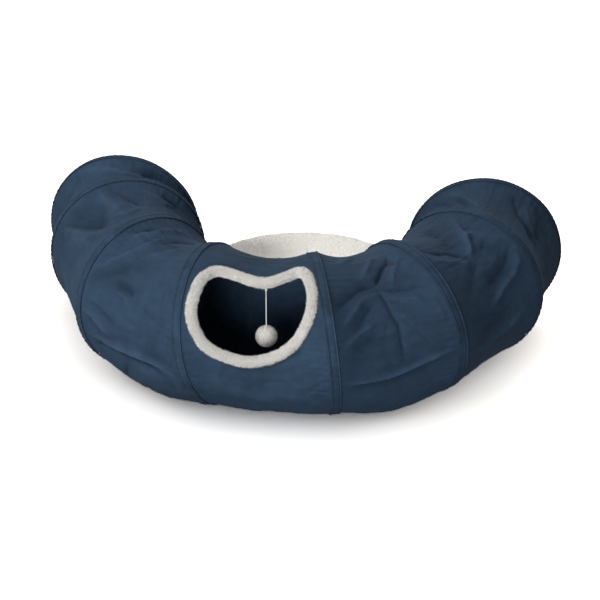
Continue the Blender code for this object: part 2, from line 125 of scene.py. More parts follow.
# Casings: the heights of the ridges, stitched grooves, hump over the wire, gathers and long waves, where the
# ridges and grooves lie as shares of the half width, and the width of an end casing's border of painted shade
CASING_RIDGE = 0.0008
CASING_GROOVE = 0.0006
CASING_HUMP = 0.0004
HUMP_WIDTH = 0.0028
CASING_GATHER = 0.00016
CASING_WAVE = 0.0002
RIDGE_SHARE = 0.86
STITCH_SHARE = 0.62
END_BORDER = 0.0045
CASING_FLOOR = 0.0002
CASING_STEPS = 420
SLEEVE_STEPS = 200
STITCHES = 250
STITCH_LENGTH_SHARE = 0.36
STITCH_HEIGHT = 0.0003
STITCH_WIDTH = 0.00032

# Mat: the grid of its cushion, its fibres, and the dots under its base as (radius, height) rings
MAT_STEPS, MAT_RINGS, MAT_SIDE_RINGS = 300, 60, 8
MAT_TUCK = 0.0012
MAT_FIBRES = 60000
MAT_SIDE_FIBRES = 14000
MAT_PILE_FLOOR = 0.0018
PIPING_RADIUS = 0.0019
BASE_STEPS = 160
DOT_RINGS = ((0.0026, 0.0007), (0.0022, 0.00015), (0.0012, 0.0))
DOT_SIDES = 8
DOT_PITCH = 0.014
DOT_ROW_SHARE = 0.87
DOT_MARGIN = 0.006

# Toy: its elastic, the winding round the knot, and the ball's fibres
STRAND_RADIUS = 0.0007
WINDING_TURNS = 3
WINDING_RADIUS = 0.0013
WINDING_THICKNESS = 0.0011
TOY_FIBRES = 3500

# Pile: length, width and curl of its fibres, and how deep their roots go
RIM_PILE = (0.0036, 0.0006, 1.0)
MAT_PILE = (0.0015, 0.0006, 0.3)
TOY_PILE = (0.0026, 0.0007, 0.8)
FIBRE_ROOT = 0.0005

# Panels: name, left hoop, right hoop, rows of the fine grid, and how much longer the fabric is than the way
# between its hoops, on the inner side of the bend
PANELS = (
    ("panel_left_cuff", "left_0", "left_1", 54, 0.08),
    ("panel_left_outer", "left_1", "left_2", 81, 0.08),
    ("panel_left_inner", "left_2", "left_3", 93, 0.08),
    ("panel_centre", "left_3", "right_3", 99, 0.04),
    ("panel_right_inner", "right_3", "right_2", 93, 0.12),
    ("panel_right_outer", "right_2", "right_1", 81, 0.12),
    ("panel_right_cuff", "right_1", "right_0", 60, 0.12),
)
COLUMNS = 396
COARSE = 3
PANEL_FLOOR = 0.0004

# Drape: cloth settings, frames that it runs for, frames of its cache, and how far it moves a point at most
CLOTH = {
    "quality": 6, "mass": 0.12, "tension_stiffness": 20, "compression_stiffness": 12, "shear_stiffness": 6,
    "bending_stiffness": 0.6, "air_damping": 3, "vertex_group_mass": "pins", "pin_stiffness": 1,
    "vertex_group_shrink": "slack", "shrink_min": 0.0,
}
DRAPE_GRAVITY = 0.35
DRAPE_FRAMES = 25
CACHE_FRAMES = 30
DRAPE_REACH = 0.014

# Height of a fold at which the painted highlight on its ridge and the painted shade in its crease reach full
# strength
FOLD_FOR_FULL_PAINTED_SHADE = 0.006

# Gathers beside the casings, and the slack and fine unevenness between them
GATHER_HEIGHT = 0.0003
GATHER_REACH = 0.016
GATHER_START = 0.003
SLACK_HEIGHT = 0.0011
FINE_HEIGHT = 0.00028

# Chance creases of the suede: height in metres, fewest and most waves per metre, and width as a share of a wave
CREASES = (
    (-0.0016, 4, 9, 0.16),
    (0.0013, 5, 11, 0.15),
    (-0.0008, 10, 20, 0.2),
)

# Bands of a panel by their place round the hoop: name, first and last column from the top towards the front, and
# the distance from the mat's middle at which a band folds
BANDS = (
    ("front", ((35, 163),), 0.425),
    ("brow", ((8, 35), (163, 190)), 0.366),
    ("middle", ((-14, 8), (190, 212)), 0.315),
    ("inner", ((-34, -14), (212, 232)), 0.272),
    ("rear", ((-56, -34), (232, 254)), 0.234),
    ("back", ((254, 340),), 0.2),
)

# Each band runs on under the next one: by so many columns, and so far below its face
UNDERLAP_COLUMNS = 5
UNDERLAP_DROP = 0.0019

# Vectors shorter than this have no direction
TINY = 1e-15

# Photographed folds: height and width in millimetres, then a line's points, each as hundredths of the way
# between the hoops and degrees from the top
FOLDS = {
    "panel_left_cuff": (
        (-10.5, 9, 30, -15, 34, -30, 55, -45, 60, -62),
        (5.2, 9, 7, 39, 19, 24, 33, 11, 55, -4, 55, -14),
        (-4.5, 5, 79, -8, 75, -18, 72, -24),
        (-4.5, 8, 30, 45, 55, 60, 50, 80),
    ),
    "panel_left_outer": (
        (9.0, 16, 7, 23, 31, 16, 52, 10),
        (-9.5, 13, 0, 50, 23, 41, 43, 31, 57, 25),
        (-6.0, 4, 6, 58, 23, 50, 40, 41, 54, 31, 63, 24),
        (6.5, 8, 10, 62, 28, 54, 48, 46, 68, 36, 85, 25),
        (-7.5, 5, 10, 10, 21, 4, 34, -2, 48, -8),
        (5.2, 9, 57, 18, 68, 6, 61, -4),
        (5.2, 8, 18, -12, 25, -22, 33, -31, 28, -44),
        (-9.0, 7, 11, -29, 16, -36, 21, -46),
        (4.5, 10, 33, 59, 53, 50, 78, 44),
        (4.5, 16, 30, 80, 60, 95, 90, 96),
        (-4.5, 14, 15, 100, 50, 112, 85, 120),
    ),
    "panel_left_inner": (
        (7.5, 6, 0, 53, 9, 47, 16, 38, 25, 27, 37, 10, 38, 0),
        (-7.5, 7, 1, 62, 13, 53, 23, 43, 31, 36),
        (6.8, 9, 12, 16, 24, 2, 32, -24),
        (-5.2, 4, 3, 15, 9, 10, 17, -2),
        (-6.0, 5, 45, 2, 54, -12, 73, -23),
        (5.2, 8, 40, 24, 55, 16, 76, 0),
        (-7.5, 5, 27, 54, 33, 54, 44, 55, 47, 58),
        (4.5, 6, 30, 60, 42, 62, 46, 68),
        (-4.5, 4, 62, 64, 70, 66, 79, 66),
        (8.2, 6, 8, 104, 21, 104, 46, 103, 58, 102, 71, 101, 82, 102, 87, 106),
        (-10.5, 6, 12, 110, 20, 109, 39, 109, 53, 108, 66, 107, 74, 110),
        (-4.5, 3.5, 43, 107, 40, 118, 30, 133),
        (6.0, 6, 1, 84, 11, 86, 17, 90, 23, 94, 27, 97),
        (-6.8, 7, 8, 76, 16, 80, 24, 84, 32, 88),
        (4.5, 7, 87, 100, 92, 107, 97, 116),
        (-4.5, 6, 75, 110, 85, 116, 90, 126),
    ),
    "panel_centre": (
        (-2.5, 22, 25, -30, 50, -10, 75, -25),
        (2.0, 20, 10, 110, 50, 118, 90, 108),
        (1.8, 12, 90, 10, 82, 50, 93, 85),
    ),
    "panel_right_inner": (
        (-9.5, 3.0, 80, -2, 78, 2, 65, 10, 57, 18, 50, 25),
        (5.0, 7, 90, 4, 76, 14, 66, 24),
        (4.5, 7, 62, -4, 50, 8, 40, 16),
        (-5.0, 4, 77, 4, 80, 10, 88, 10),
        (-9.0, 8, 50, 25, 38, 26, 28, 30, 17, 36, 10, 40, 4, 44),
        (4.0, 9, 17, 1, 33, -7, 47, -18),
        (4.0, 7, 30, 38, 25, 43, 16, 50, 8, 56),
        (-4.0, 3, 49, 28, 50, 36, 52, 44, 53, 54, 56, 61, 55, 72, 54, 90),
        (-5.5, 4, 52, 31, 63, 33, 78, 35, 85, 34, 92, 36),
        (3.5, 6, 58, 41, 70, 43, 85, 45),
        (-3.0, 3.5, 55, 42, 65, 44),
        (-5.0, 6, 40, 42, 31, 49, 23, 56, 17, 63),
        (4.0, 7, 35, 58, 29, 60, 22, 63, 14, 67, 6, 72),
        (-4.0, 6, 33, 68, 23, 72, 15, 76),
        (8.0, 5, 3, 99, 20, 100, 38, 100, 51, 98, 59, 96, 71, 93, 83, 90, 96, 88),
        (-11.0, 6, 10, 105, 20, 105, 38, 105, 51, 103, 65, 100, 85, 96),
        (2.5, 6, 92, 48, 93, 56, 95, 66),
    ),
    "panel_right_outer": (
        (6.5, 7, 88, -10, 76, 2, 71, 10, 60, 23, 53, 30),
        (-7.0, 12, 57, -21, 50, -2, 46, 12, 46, 22),
        (-5.5, 4, 0, 3, 7, 10, 20, 15, 33, 18, 40, 24, 47, 30),
        (4.0, 8, 0, 10, 8, 20, 29, 28, 44, 34),
        (5.5, 8, 62, 12, 76, 15, 81, 22, 89, 30, 98, 34),
        (-5.5, 8, 70, 27, 82, 34, 90, 38),
        (-8.0, 9, 93, 40, 83, 48, 70, 54, 50, 58),
        (6.5, 7, 97, 44, 90, 54, 80, 60, 60, 66, 47, 73),
        (-4.5, 10, 57, 36, 36, 47, 20, 58),
        (5.5, 8, 83, 88, 62, 96, 34, 100, 7, 100),
        (-4.5, 9, 77, 78, 53, 86, 24, 88),
    ),
    "panel_right_cuff": (
        (4.5, 7, 85, -28, 60, -14, 25, 2, 5, 16),
        (-4.0, 5, 70, -24, 45, -14, 13, -4),
        (-6.0, 6, 92, 22, 75, 28, 60, 34, 49, 45, 37, 55),
        (-7.0, 7, 93, 42, 86, 50, 68, 55, 44, 60),
        (4.5, 6, 80, 36, 62, 44, 53, 50, 40, 62),
        (4.0, 6, 91, 57, 82, 66, 61, 74),
        (-3.5, 6, 92, -52, 71, -36, 35, -22),
    ),
}


# Shapes

def angles(count):
    return np.arange(count) / count * math.tau


def hoop_matrix(hoop):
    """A hoop's own axes: X up, Y away from the mat, Z to the right."""
    around, lean, pull = HOOPS[hoop]
    lean = math.radians(lean)
    foot_rise = CASING_WIDTH / 2 * abs(math.sin(lean))
    axes = Matrix(((0, 0, 1), (0, -1, 0), (1, 0, 0))).to_4x4()
    turned = Matrix.Rotation(math.radians(around), 4, "Z")
    placed = Matrix.Translation((0, pull - RING_RADIUS, foot_rise))
    leaned = Matrix.Rotation(lean, 4, Vector((0, -1, 0)))
    return turned @ placed @ leaned @ Matrix.Translation((0, 0, HOOP_RADIUS)) @ axes


def hoop_points(hoop, turns, radius, along):
    """Points round a hoop, for arrays of turns, radii and distances along its axis."""
    matrix = np.array(hoop_matrix(hoop))
    angle = math.tau * np.asarray(turns)
    local = np.stack(np.broadcast_arrays(radius * np.cos(angle), radius * np.sin(angle), along), axis=-1)
    return local @ matrix[:3, :3].T + matrix[:3, 3]


def noise_waves(u, v, seed, count, low, high):
    """Smooth noise from a fixed set of plane waves, with low to high waves per metre."""
    chance = np.random.default_rng(seed)
    total = np.zeros(np.broadcast(u, v).shape)
    for _ in range(count):
        direction = chance.uniform(0, math.tau)
        pitch = chance.uniform(low, high) * math.tau
        phase = chance.uniform(0, math.tau)
        total = total + np.sin(pitch * (u * math.cos(direction) + v * math.sin(direction)) + phase)
    return total / math.sqrt(count)


def fast_mesh(name, points, quads):
    places = np.asarray(points, np.float32).ravel()
    mesh = bpy.data.meshes.new(name)
    mesh.vertices.add(len(places) // 3)
    mesh.vertices.foreach_set("co", places)
    mesh.loops.add(quads.size)
    mesh.loops.foreach_set("vertex_index", np.asarray(quads, np.int32).ravel())
    mesh.polygons.add(len(quads))
    mesh.polygons.foreach_set("loop_start", np.arange(0, quads.size, quads.shape[1], dtype=np.int32))
    mesh.update(calc_edges=True)
    return mesh


def capped_mesh(name, points, quads, *fans):
    """A mesh of quads that fans of triangles close. Each fan is (ring's first point, points, tip, way round)."""
    faces = quads.tolist()
    for first, count, tip, step in fans:
        for k in range(count):
            faces.append((*(first + k, first + (k + 1) % count)[::step], tip))
    mesh = bpy.data.meshes.new(name)
    mesh.from_pydata(points.tolist(), [], faces)
    return mesh


def read_places(mesh):
    places = np.zeros(len(mesh.vertices) * 3, np.float32)
    mesh.vertices.foreach_get("co", places)
    return places.reshape(-1, 3)


def add_uv(mesh, values):
    """A UV map in metres from one (across, round) pair per vertex."""
    layer = mesh.uv_layers.new(name="metres")
    corners = np.zeros(len(mesh.loops), np.int32)
    mesh.loops.foreach_get("vertex_index", corners)
    layer.uv.foreach_set("vector", np.asarray(values, np.float32).reshape(-1, 2)[corners].ravel())


def add_painted_shading(mesh, values):
    """Painted highlight (up to 1, on a ridge) and painted shade (down to -1, in a crease) for each vertex."""
    layer = mesh.attributes.new("painted_shading", "FLOAT", "POINT")
    layer.data.foreach_set("value", np.asarray(values, np.float32))


def grid_quads(rows, columns, closed_rows=False, closed_columns=True):
    """Quads of a grid of rows x columns points."""
    i = np.arange(rows if closed_rows else rows - 1)
    j = np.arange(columns if closed_columns else columns - 1)
    a, b = np.meshgrid(i, j, indexing="ij")
    c, d = (a + 1) % rows, (b + 1) % columns
    return np.stack([a * columns + b, a * columns + d, c * columns + d, c * columns + b], -1).reshape(-1, 4)


def grid_normals(points):
    """Normals of a grid that is closed round its columns."""
    round_it = (np.roll(points, -1, axis=1) - np.roll(points, 1, axis=1)) / 2
    normals = np.cross(round_it, np.gradient(points, axis=0))
    return normals / np.maximum(np.linalg.norm(normals, axis=-1, keepdims=True), TINY)


def unit(vectors):
    return vectors / np.linalg.norm(vectors, axis=-1, keepdims=True)


def repeated(shape, quads, places):
    """Copies of one small solid at many places, as points and quads."""
    starts = np.arange(len(places))[:, None, None] * len(shape)
    return (places[:, None] + shape).reshape(-1, 3), (quads + starts).reshape(-1, 4)


def add_to_scene(name, data):
    made = bpy.data.objects.new(name, data)
    scene.collection.objects.link(made)
    return made


def new_object(name, mesh, material):
    mesh.materials.append(material)
    mesh.shade_smooth()
    mesh.set_sharp_from_angle(angle=math.radians(60))
    return add_to_scene(name, mesh)


def hand_over(piece, body, slot, *nodes):
    """Lets a piece ride on a body, and hides the nodes that it replaces. The slot is not used."""
    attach(piece, body)
    if nodes:
        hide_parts(*nodes)


# Materials

class Nodes:
    """Short calls for building the nodes of a material or world. Inputs are named with _ for a space."""

    def __init__(self, owner):
        owner.use_nodes = True
        self.owner = owner
        self.nodes = owner.node_tree.nodes

    def put(self, socket, value):
        """Links an input to another node's output, or sets its value."""
        if isinstance(value, bpy.types.NodeSocket):
            self.owner.node_tree.links.new(value, socket)
        else:
            socket.default_value = (*value, 1) if socket.type == "RGBA" else value

    def add(self, kind, **values):
        node = self.nodes.new(kind)
        for key, value in values.items():
            name = key.replace("_", " ")
            if name in node.inputs:
                self.put(node.inputs[name], value)
            else:
                setattr(node, key, value)
        return node

    def shade(self, **values):
        """Fills in the surface shader's inputs, and returns the material."""
        for key, value in values.items():
            self.put(self.nodes["Principled BSDF"].inputs[key.replace("_", " ")], value)
        return self.owner

    def place(self, kind):
        return self.add("ShaderNodeTexCoord").outputs[kind]

    def math(self, operation, *values):
        node = self.add("ShaderNodeMath", operation=operation)
        for socket, value in zip(node.inputs, values):
            self.put(socket, value)
        return node.outputs[0]

    def sum(self, a, share_a, b, share_b):
        return self.math("ADD", self.math("MULTIPLY", a, share_a), self.math("MULTIPLY", b, share_b))

    def noise(self, vector, scale, detail=3.0, roughness=0.55):
        node = self.add("ShaderNodeTexNoise", Vector=vector, Scale=scale, Detail=detail, Roughness=roughness)
        return node.outputs["Fac"]

    def bands(self, vector, scale, direction, **values):
        node = self.add("ShaderNodeTexWave", wave_type="BANDS", bands_direction=direction, Vector=vector,
                        Scale=scale, **values)
        return node.outputs["Fac"]

    def ramp(self, value, low, high, dark, light=(1.0, 1.0, 1.0)):
        node = self.add("ShaderNodeValToRGB", Fac=value)
        for element, position, color in zip(node.color_ramp.elements, (low, high), (dark, light)):
            element.position = position
            element.color = (*color, 1)
        return node.outputs["Color"]

    def span(self, value, low, high):
        return self.add("ShaderNodeMapRange", Value=value, To_Min=low, To_Max=high).outputs["Result"]

    def mix(self, kind, share, a, b):
        node = self.add("ShaderNodeMix", data_type="RGBA", blend_type=kind, Factor=share, A=a, B=b)
        return node.outputs["Result"]

    def bump(self, height, distance, strength, **under):
        """A bump, on top of the one that Normal names."""
        node = self.add("ShaderNodeBump", Height=height, Distance=distance, Strength=strength, **under)
        return node.outputs["Normal"]


def new_material(name):
    return Nodes(bpy.data.materials.new(name))


def tint(color, factor):
    return tuple(part * factor for part in color)


def paint_light_and_shade(n, color, darkest):
    """Paints shade into a mesh's creases and highlight onto its ridges, by the painted shading values in the
    mesh.
    """
    painted_shade_level = n.add("ShaderNodeAttribute", attribute_name="painted_shading").outputs["Fac"]
    shade = n.math("MAXIMUM", n.math("ADD", n.math("MULTIPLY", painted_shade_level, 0.3), 1.0), darkest)
    grey = n.add("ShaderNodeCombineColor", Red=shade, Green=shade, Blue=shade).outputs["Color"]
    return n.mix("MULTIPLY", 1.0, color, grey)


NAVY_SHEEN = {"Sheen_Tint": (0.5, 0.62, 0.85), "Specular_IOR_Level": 0.1}


def suede_material(name, base):
    """Brushed woven suede: cloudy nap, a fine slub weave in metres, and a soft sheen."""
    n = new_material(name)
    solid, uv = n.place("Object"), n.place("UV")
    nap = n.noise(solid, 55.0, 5.0, 0.65)
    cloud = n.sum(n.noise(solid, 9.0, 4.0, 0.6), 0.55, nap, 0.45)
    color = n.ramp(cloud, 0.32, 0.7, tint(base, 0.74), tint(base, 1.34))
    threads = []
    for scale in ((260, 1500, 1), (1500, 260, 1)):
        slub = n.add("ShaderNodeMapping", Vector=uv, Scale=scale).outputs["Vector"]
        threads.append(n.noise(slub, 1.0, 2.0))
    weave = n.sum(threads[0], 0.5, threads[1], 0.5)
    color = n.mix("MULTIPLY", 0.55, color, n.ramp(weave, 0.3, 0.7, (0.62, 0.62, 0.62)))
    # Painted shade in the creases and painted highlight on the ridges of the folds, where the mesh carries them
    return n.shade(Base_Color=paint_light_and_shade(n, color, 0.6), Roughness=n.span(nap, 0.72, 0.92),
                   Normal=n.bump(nap, 0.0012, 0.35, Normal=n.bump(weave, 0.00035, 0.8)),
                   Sheen_Weight=0.03, Sheen_Roughness=0.45, **NAVY_SHEEN)


def tape_material(name, base):
    """Twill tape: fine diagonal ribs, in metres, with painted highlight on its high places and painted shade in
    its low places, where a mesh carries them.
    """
    n = new_material(name)
    ribs = n.bands(n.place("UV"), 260.0, "DIAGONAL", Distortion=1.2, Detail=2.0, Detail_Scale=3.0)
    cloud = n.noise(n.place("Object"), 40.0, 4.0, 0.6)
    color = n.ramp(cloud, 0.3, 0.7, tint(base, 0.7), tint(base, 1.3))
    color = n.mix("MULTIPLY", 0.6, color, n.ramp(ribs, 0.1, 0.9, (0.7, 0.7, 0.7)))
    # Painted highlight on the high places and painted shade in the grooves, at the edges and on an end border
    return n.shade(Base_Color=paint_light_and_shade(n, color, 0.4), Roughness=n.span(cloud, 0.7, 0.9),
                   Normal=n.bump(cloud, 0.0008, 0.3, Normal=n.bump(ribs, 0.0003, 0.8)),
                   Sheen_Weight=0.02, Sheen_Roughness=0.5, **NAVY_SHEEN)


def pile_material(name, dark, light, curl, sheen, depth):
    """Fleece or plush: soft clumps of pile, darkened in a fine fibre pattern as painted shade between the fibres.
    """
    n = new_material(name)
    solid = n.place("Object")
    clumps = n.noise(solid, curl, 4.0, 0.65)
    fibre = n.noise(solid, curl * 5, 3.0, 0.7)
    cloud = n.sum(clumps, 0.6, n.noise(solid, 14.0, 3.0, 0.5), 0.4)
    color = n.ramp(cloud, 0.3, 0.66, dark, light)
    # Painted shade between the fibres, as a fine darker fibre pattern
    return n.shade(Base_Color=n.mix("MULTIPLY", 0.35, color, n.ramp(fibre, 0.3, 0.65, (0.75, 0.73, 0.7))),
                   Roughness=n.span(fibre, 0.86, 1.0),
                   Normal=n.bump(clumps, 0.003 * depth, 0.5, Normal=n.bump(fibre, 0.0012 * depth, 0.5)),
                   Sheen_Weight=sheen, Sheen_Roughness=0.5, Specular_IOR_Level=0.15)


def elastic_material(name, base):
    """Round braid: two crossing sets of fine bands."""
    n = new_material(name)
    solid = n.place("Object")
    braid = n.math("MAXIMUM", *[n.bands(solid, 420.0, way, Distortion=2.0) for way in ("X", "Z")])
    return n.shade(Base_Color=n.ramp(braid, 0.0, 0.8, tint(base, 0.78), base),
                   Roughness=n.span(braid, 0.6, 0.8), Normal=n.bump(braid, 0.0002, 0.6))


def rubber_material(name, base):
    """Black non-woven with a rubbery dotted coat."""
    n = new_material(name)
    solid = n.place("Object")
    fibre = n.noise(solid, 350.0, 5.0, 0.7)
    cloud = n.sum(fibre, 0.7, n.noise(solid, 20.0), 0.3)
    return n.shade(Base_Color=n.ramp(cloud, 0.3, 0.7, tint(base, 0.6), tint(base, 1.5)),
                   Roughness=n.span(fibre, 0.55, 0.8), Normal=n.bump(fibre, 0.0004, 0.6))


def steel_material(name, base):
    """Drawn spring wire with fine lengthwise scratches and faint stains."""
    n = new_material(name)
    solid = n.place("Object")
    scratch = n.noise(solid, 900.0, 2.0)
    return n.shade(Base_Color=n.ramp(n.noise(solid, 35.0, 4.0, 0.6), 0.3, 0.75, tint(base, 0.7), base),
                   Roughness=n.span(scratch, 0.25, 0.5), Normal=n.bump(scratch, 0.0001, 0.4), Metallic=1.0)


# Stage

def turn_to(item, way):
    item.rotation_euler = way.to_track_quat("-Z", "Y").to_euler()


def make_camera():
    azimuth, elevation = math.radians(CAMERA_AZIMUTH), math.radians(CAMERA_ELEVATION)
    back = Vector((
        math.sin(azimuth) * math.cos(elevation),
        -math.cos(azimuth) * math.cos(elevation),
        math.sin(elevation),
    ))
    data = bpy.data.cameras.new("camera")
    data.lens = CAMERA_LENS
    data.sensor_width = SENSOR_WIDTH
    data.clip_end = CAMERA_REACH
    camera = add_to_scene("camera", data)
    camera.location = CAMERA_TARGET + back * CAMERA_DISTANCE
    turn_to(camera, -back)
    scene.camera = camera


def make_stage():
    """Pale floor that reads as white to the camera and still takes the shadow, soft lamps and a pale world."""
    corners = [(x * FLOOR_HALF_WIDTH, y * FLOOR_HALF_WIDTH, FLOOR_HEIGHT)
               for x, y in ((-1, -1), (1, -1), (1, 1), (-1, 1))]
    mesh = fast_mesh("floor", corners, np.array([[0, 1, 2, 3]]))
    n = new_material("floor")
    seen = n.add("ShaderNodeLightPath").outputs["Is Camera Ray"]
    matt = n.add("ShaderNodeBsdfDiffuse", Color=n.mix("MIX", seen, FLOOR_TO_LIGHT, FLOOR_TO_CAMERA))
    n.put(n.nodes["Material Output"].inputs["Surface"], matt.outputs["BSDF"])
    mesh.materials.append(n.owner)
    floor = add_to_scene("floor", mesh)
    unlit = bpy.data.collections.new("off_the_lamps")
    unlit.objects.link(floor)
    for item in unlit.collection_objects:
        item.light_linking.link_state = "EXCLUDE"
    for name, place, size, power, target in LAMPS:
        lamp = bpy.data.lights.new(name, "AREA")
        lamp.shape = "DISK"
        lamp.size = size
        lamp.energy = power
        made = add_to_scene(name, lamp)
        made.location = place
        turn_to(made, Vector(target) - made.location)
        made.light_linking.receiver_collection = unlit
    world = bpy.data.worlds.new("world")
    scene.world = world
    n = Nodes(world)
    ground = n.nodes["Background"].inputs
    n.put(ground["Color"], (1, 1, 1))
    path = n.add("ShaderNodeLightPath").outputs
    seen = n.math("MAXIMUM", path["Is Camera Ray"], path["Is Glossy Ray"])
    n.put(ground["Strength"], n.span(seen, WORLD_TO_LIGHT, WORLD_TO_CAMERA))
    scene.view_settings.view_transform = "Standard"


# Fabric panels

def line_distance(u, v, line):
    """Distance in metres from a grid of points to a line, and how far along the line the nearest point is."""
    nearest = np.full(u.shape, np.inf)
    place = np.zeros(u.shape)
    total = sum(math.dist(a, b) for a, b in zip(line, line[1:]))
    done = 0.0
    for a, b in zip(line, line[1:]):
        step = np.subtract(b, a)
        length = math.hypot(*step)
        share = np.clip(((u - a[0]) * step[0] + (v - a[1]) * step[1]) / length**2, 0, 1)
        gap = np.hypot(u - a[0] - share * step[0], v - a[1] - share * step[1])
        closer = gap < nearest
        nearest = np.where(closer, gap, nearest)
        place = np.where(closer, (done + share * length) / total, place)
        done += length
    return nearest, place


def fold_heights(name, u, turns, length):
    """Height of the photographed folds over a panel's plain surface."""
    total = np.zeros(u.shape)
    for height, width, *line in FOLDS[name]:
        for wrap in (-FABRIC_GIRTH, 0.0, FABRIC_GIRTH):
            metres = [(way / 100 * length, degrees / 360 * FABRIC_GIRTH + wrap)
                      for way, degrees in zip(line[::2], line[1::2])]
            gap, place = line_distance(u * length, turns * FABRIC_GIRTH, metres)
            taper = np.clip(4.4 * place * (1 - place) + 0.35, 0, 1)
            near = gap / (width / 1000)
            shape = np.exp(-near) * (1 + near * 0.3) if height < 0 else 1 / (1 + near**2) ** 2
            total += height / 1000 * taper * shape
    return total


def pucker_heights(name, u, turns, length):
    """Small gathers beside both casings, and a slack surface between them, with chance creases."""
    seed = sum(ord(letter) for letter in name)
    across, round_it = u * length, turns * FABRIC_GIRTH
    edge = np.minimum(across, length - across)
    gathers = np.zeros(u.shape)
    chance = np.random.default_rng(seed)
    for _ in range(5):
        count = chance.integers(34, 78)
        phase = chance.uniform(0, math.tau)
        lean = chance.uniform(-25, 25)
        gathers += np.sin(count * math.tau * turns + phase + lean * across)
    gathers *= GATHER_HEIGHT * np.exp(-edge / GATHER_REACH) * (1 - np.exp(-edge / GATHER_START))
    slack = noise_waves(across, round_it, seed, 14, 5, 14) * SLACK_HEIGHT
    fine = noise_waves(across, round_it, seed + 1, 18, 24, 55) * FINE_HEIGHT
    creases = np.zeros(u.shape)
    for number, (height, low, high, width) in enumerate(CREASES):
        line = noise_waves(across * 1.15, round_it * 0.85, seed + 10 + number, 10, low, high)
        where = noise_waves(across, round_it, seed + 20 + number, 8, 3, 8)
        creases += height * np.exp(-((line / width) ** 2)) * np.clip(where * 1.4, 0, 1)
    return gathers + (slack + fine + creases) * np.sin(math.pi * u) ** 0.5


def panel_grid(panel, rows, columns, folded=True):
    """Grid of points on a panel's outer face, from casing to casing, with or without its folds."""
    name, left, right, *_ = panel
    u, t = np.meshgrid(np.linspace(0, 1, rows + 1), np.arange(columns) / columns, indexing="ij")
    ends = ((left, CASING_WIDTH / 2), (right, -CASING_WIDTH / 2))
    low, high = (hoop_points(hoop, t, FABRIC_RADIUS, along) for hoop, along in ends)
    low_middle, high_middle = (hoop_points(hoop, t, 0.0, along) for hoop, along in ends)
    share = u[..., None]
    place = low * (1 - share) + high * share
    outward = unit(place - (low_middle * (1 - share) + high_middle * share))
    bulge = 4 * u * (1 - u)
    drawn_in = bulge * (SIDE_SAG * abs(np.sin(math.tau * t)) + TOP_SAG * np.maximum(0, np.cos(math.tau * t)))
    length = float(np.linalg.norm(high - low, axis=-1).mean())
    way = np.clip((t - LOW_START_SHARE) / (LOW_END_SHARE - LOW_START_SHARE), 0, 1)
    low_sag = LOW_SAG * LOW_SAG_SHARES.get(name, 0.0) * np.sin(math.pi * way**LOW_POWER) ** 2
    low_sag = low_sag * np.sin(math.pi * u)
    height = pucker_heights(name, u, t, length) + low_sag
    if folded:
        height += fold_heights(name, u, t, length) * np.sin(math.pi * u) ** 0.4
    return place + outward * (height - drawn_in)[..., None], t[0], length, height - low_sag


def drape(points, growth):
    """Lets a coarse copy of a panel hang as cloth between its casings, and returns how far each point moved."""
    rows, columns = points.shape[:2]
    mesh = fast_mesh("drape", points, grid_quads(rows, columns))
    item = add_to_scene("drape", mesh)
    pins = item.vertex_groups.new(name="pins")
    ends = list(range(columns)) + list(range((rows - 1) * columns, rows * columns))
    pins.add(ends, 1.0, "REPLACE")
    slack = item.vertex_groups.new(name="slack")
    turns = np.arange(columns) / columns
    inner = np.clip(-np.sin(math.tau * turns) * 0.8 + 0.35 * np.cos(math.tau * turns) + 0.15, 0.05, 1)
    for j in range(columns):
        slack.add([i * columns + j for i in range(rows)], float(inner[j]), "REPLACE")
    cloth = item.modifiers.new("cloth", "CLOTH")
    for key, value in CLOTH.items():
        setattr(cloth.settings, key, value)
    cloth.settings.shrink_max = -growth
    cloth.settings.effector_weights.gravity = DRAPE_GRAVITY
    cloth.collision_settings.use_collision = False
    cloth.collision_settings.use_self_collision = False
    cloth.point_cache.frame_start = 1
    cloth.point_cache.frame_end = CACHE_FRAMES
    for number in range(1, DRAPE_FRAMES + 1):
        scene.frame_set(number)
    solved = item.evaluated_get(bpy.context.evaluated_depsgraph_get())
    shift = read_places(solved.data).reshape(rows, columns, 3) - points
    bpy.data.objects.remove(item, do_unlink=True)
    bpy.data.meshes.remove(mesh)
    scene.frame_set(1)
    reach = np.linalg.norm(shift, axis=-1, keepdims=True)
    return shift * np.minimum(1, DRAPE_REACH / np.maximum(reach, TINY))


def cubic(values, place, closed):
    """Smooth interpolation between rows of values, at places counted in rows."""
    many = len(values)
    start = np.minimum(place.astype(int), many - (1 if closed else 2))
    t = (place - start).reshape(-1, *[1] * (values.ndim - 1))
    picks = [(start + k) % many if closed else np.clip(start + k, 0, many - 1) for k in (-1, 0, 1, 2)]
    a, b, c, d = (values[pick] for pick in picks)
    return 0.5 * (2 * b + (c - a) * t + (2 * a - 5 * b + 4 * c - d) * t**2 + (3 * b - a - 3 * c + d) * t**3)


def finer(values, rows, columns):
    """A coarse grid that is closed round its columns, made finer."""
    values = cubic(values, np.linspace(0, len(values) - 1, rows), False).swapaxes(0, 1)
    return cubic(values, np.arange(columns) * len(values) / columns, True).swapaxes(0, 1)


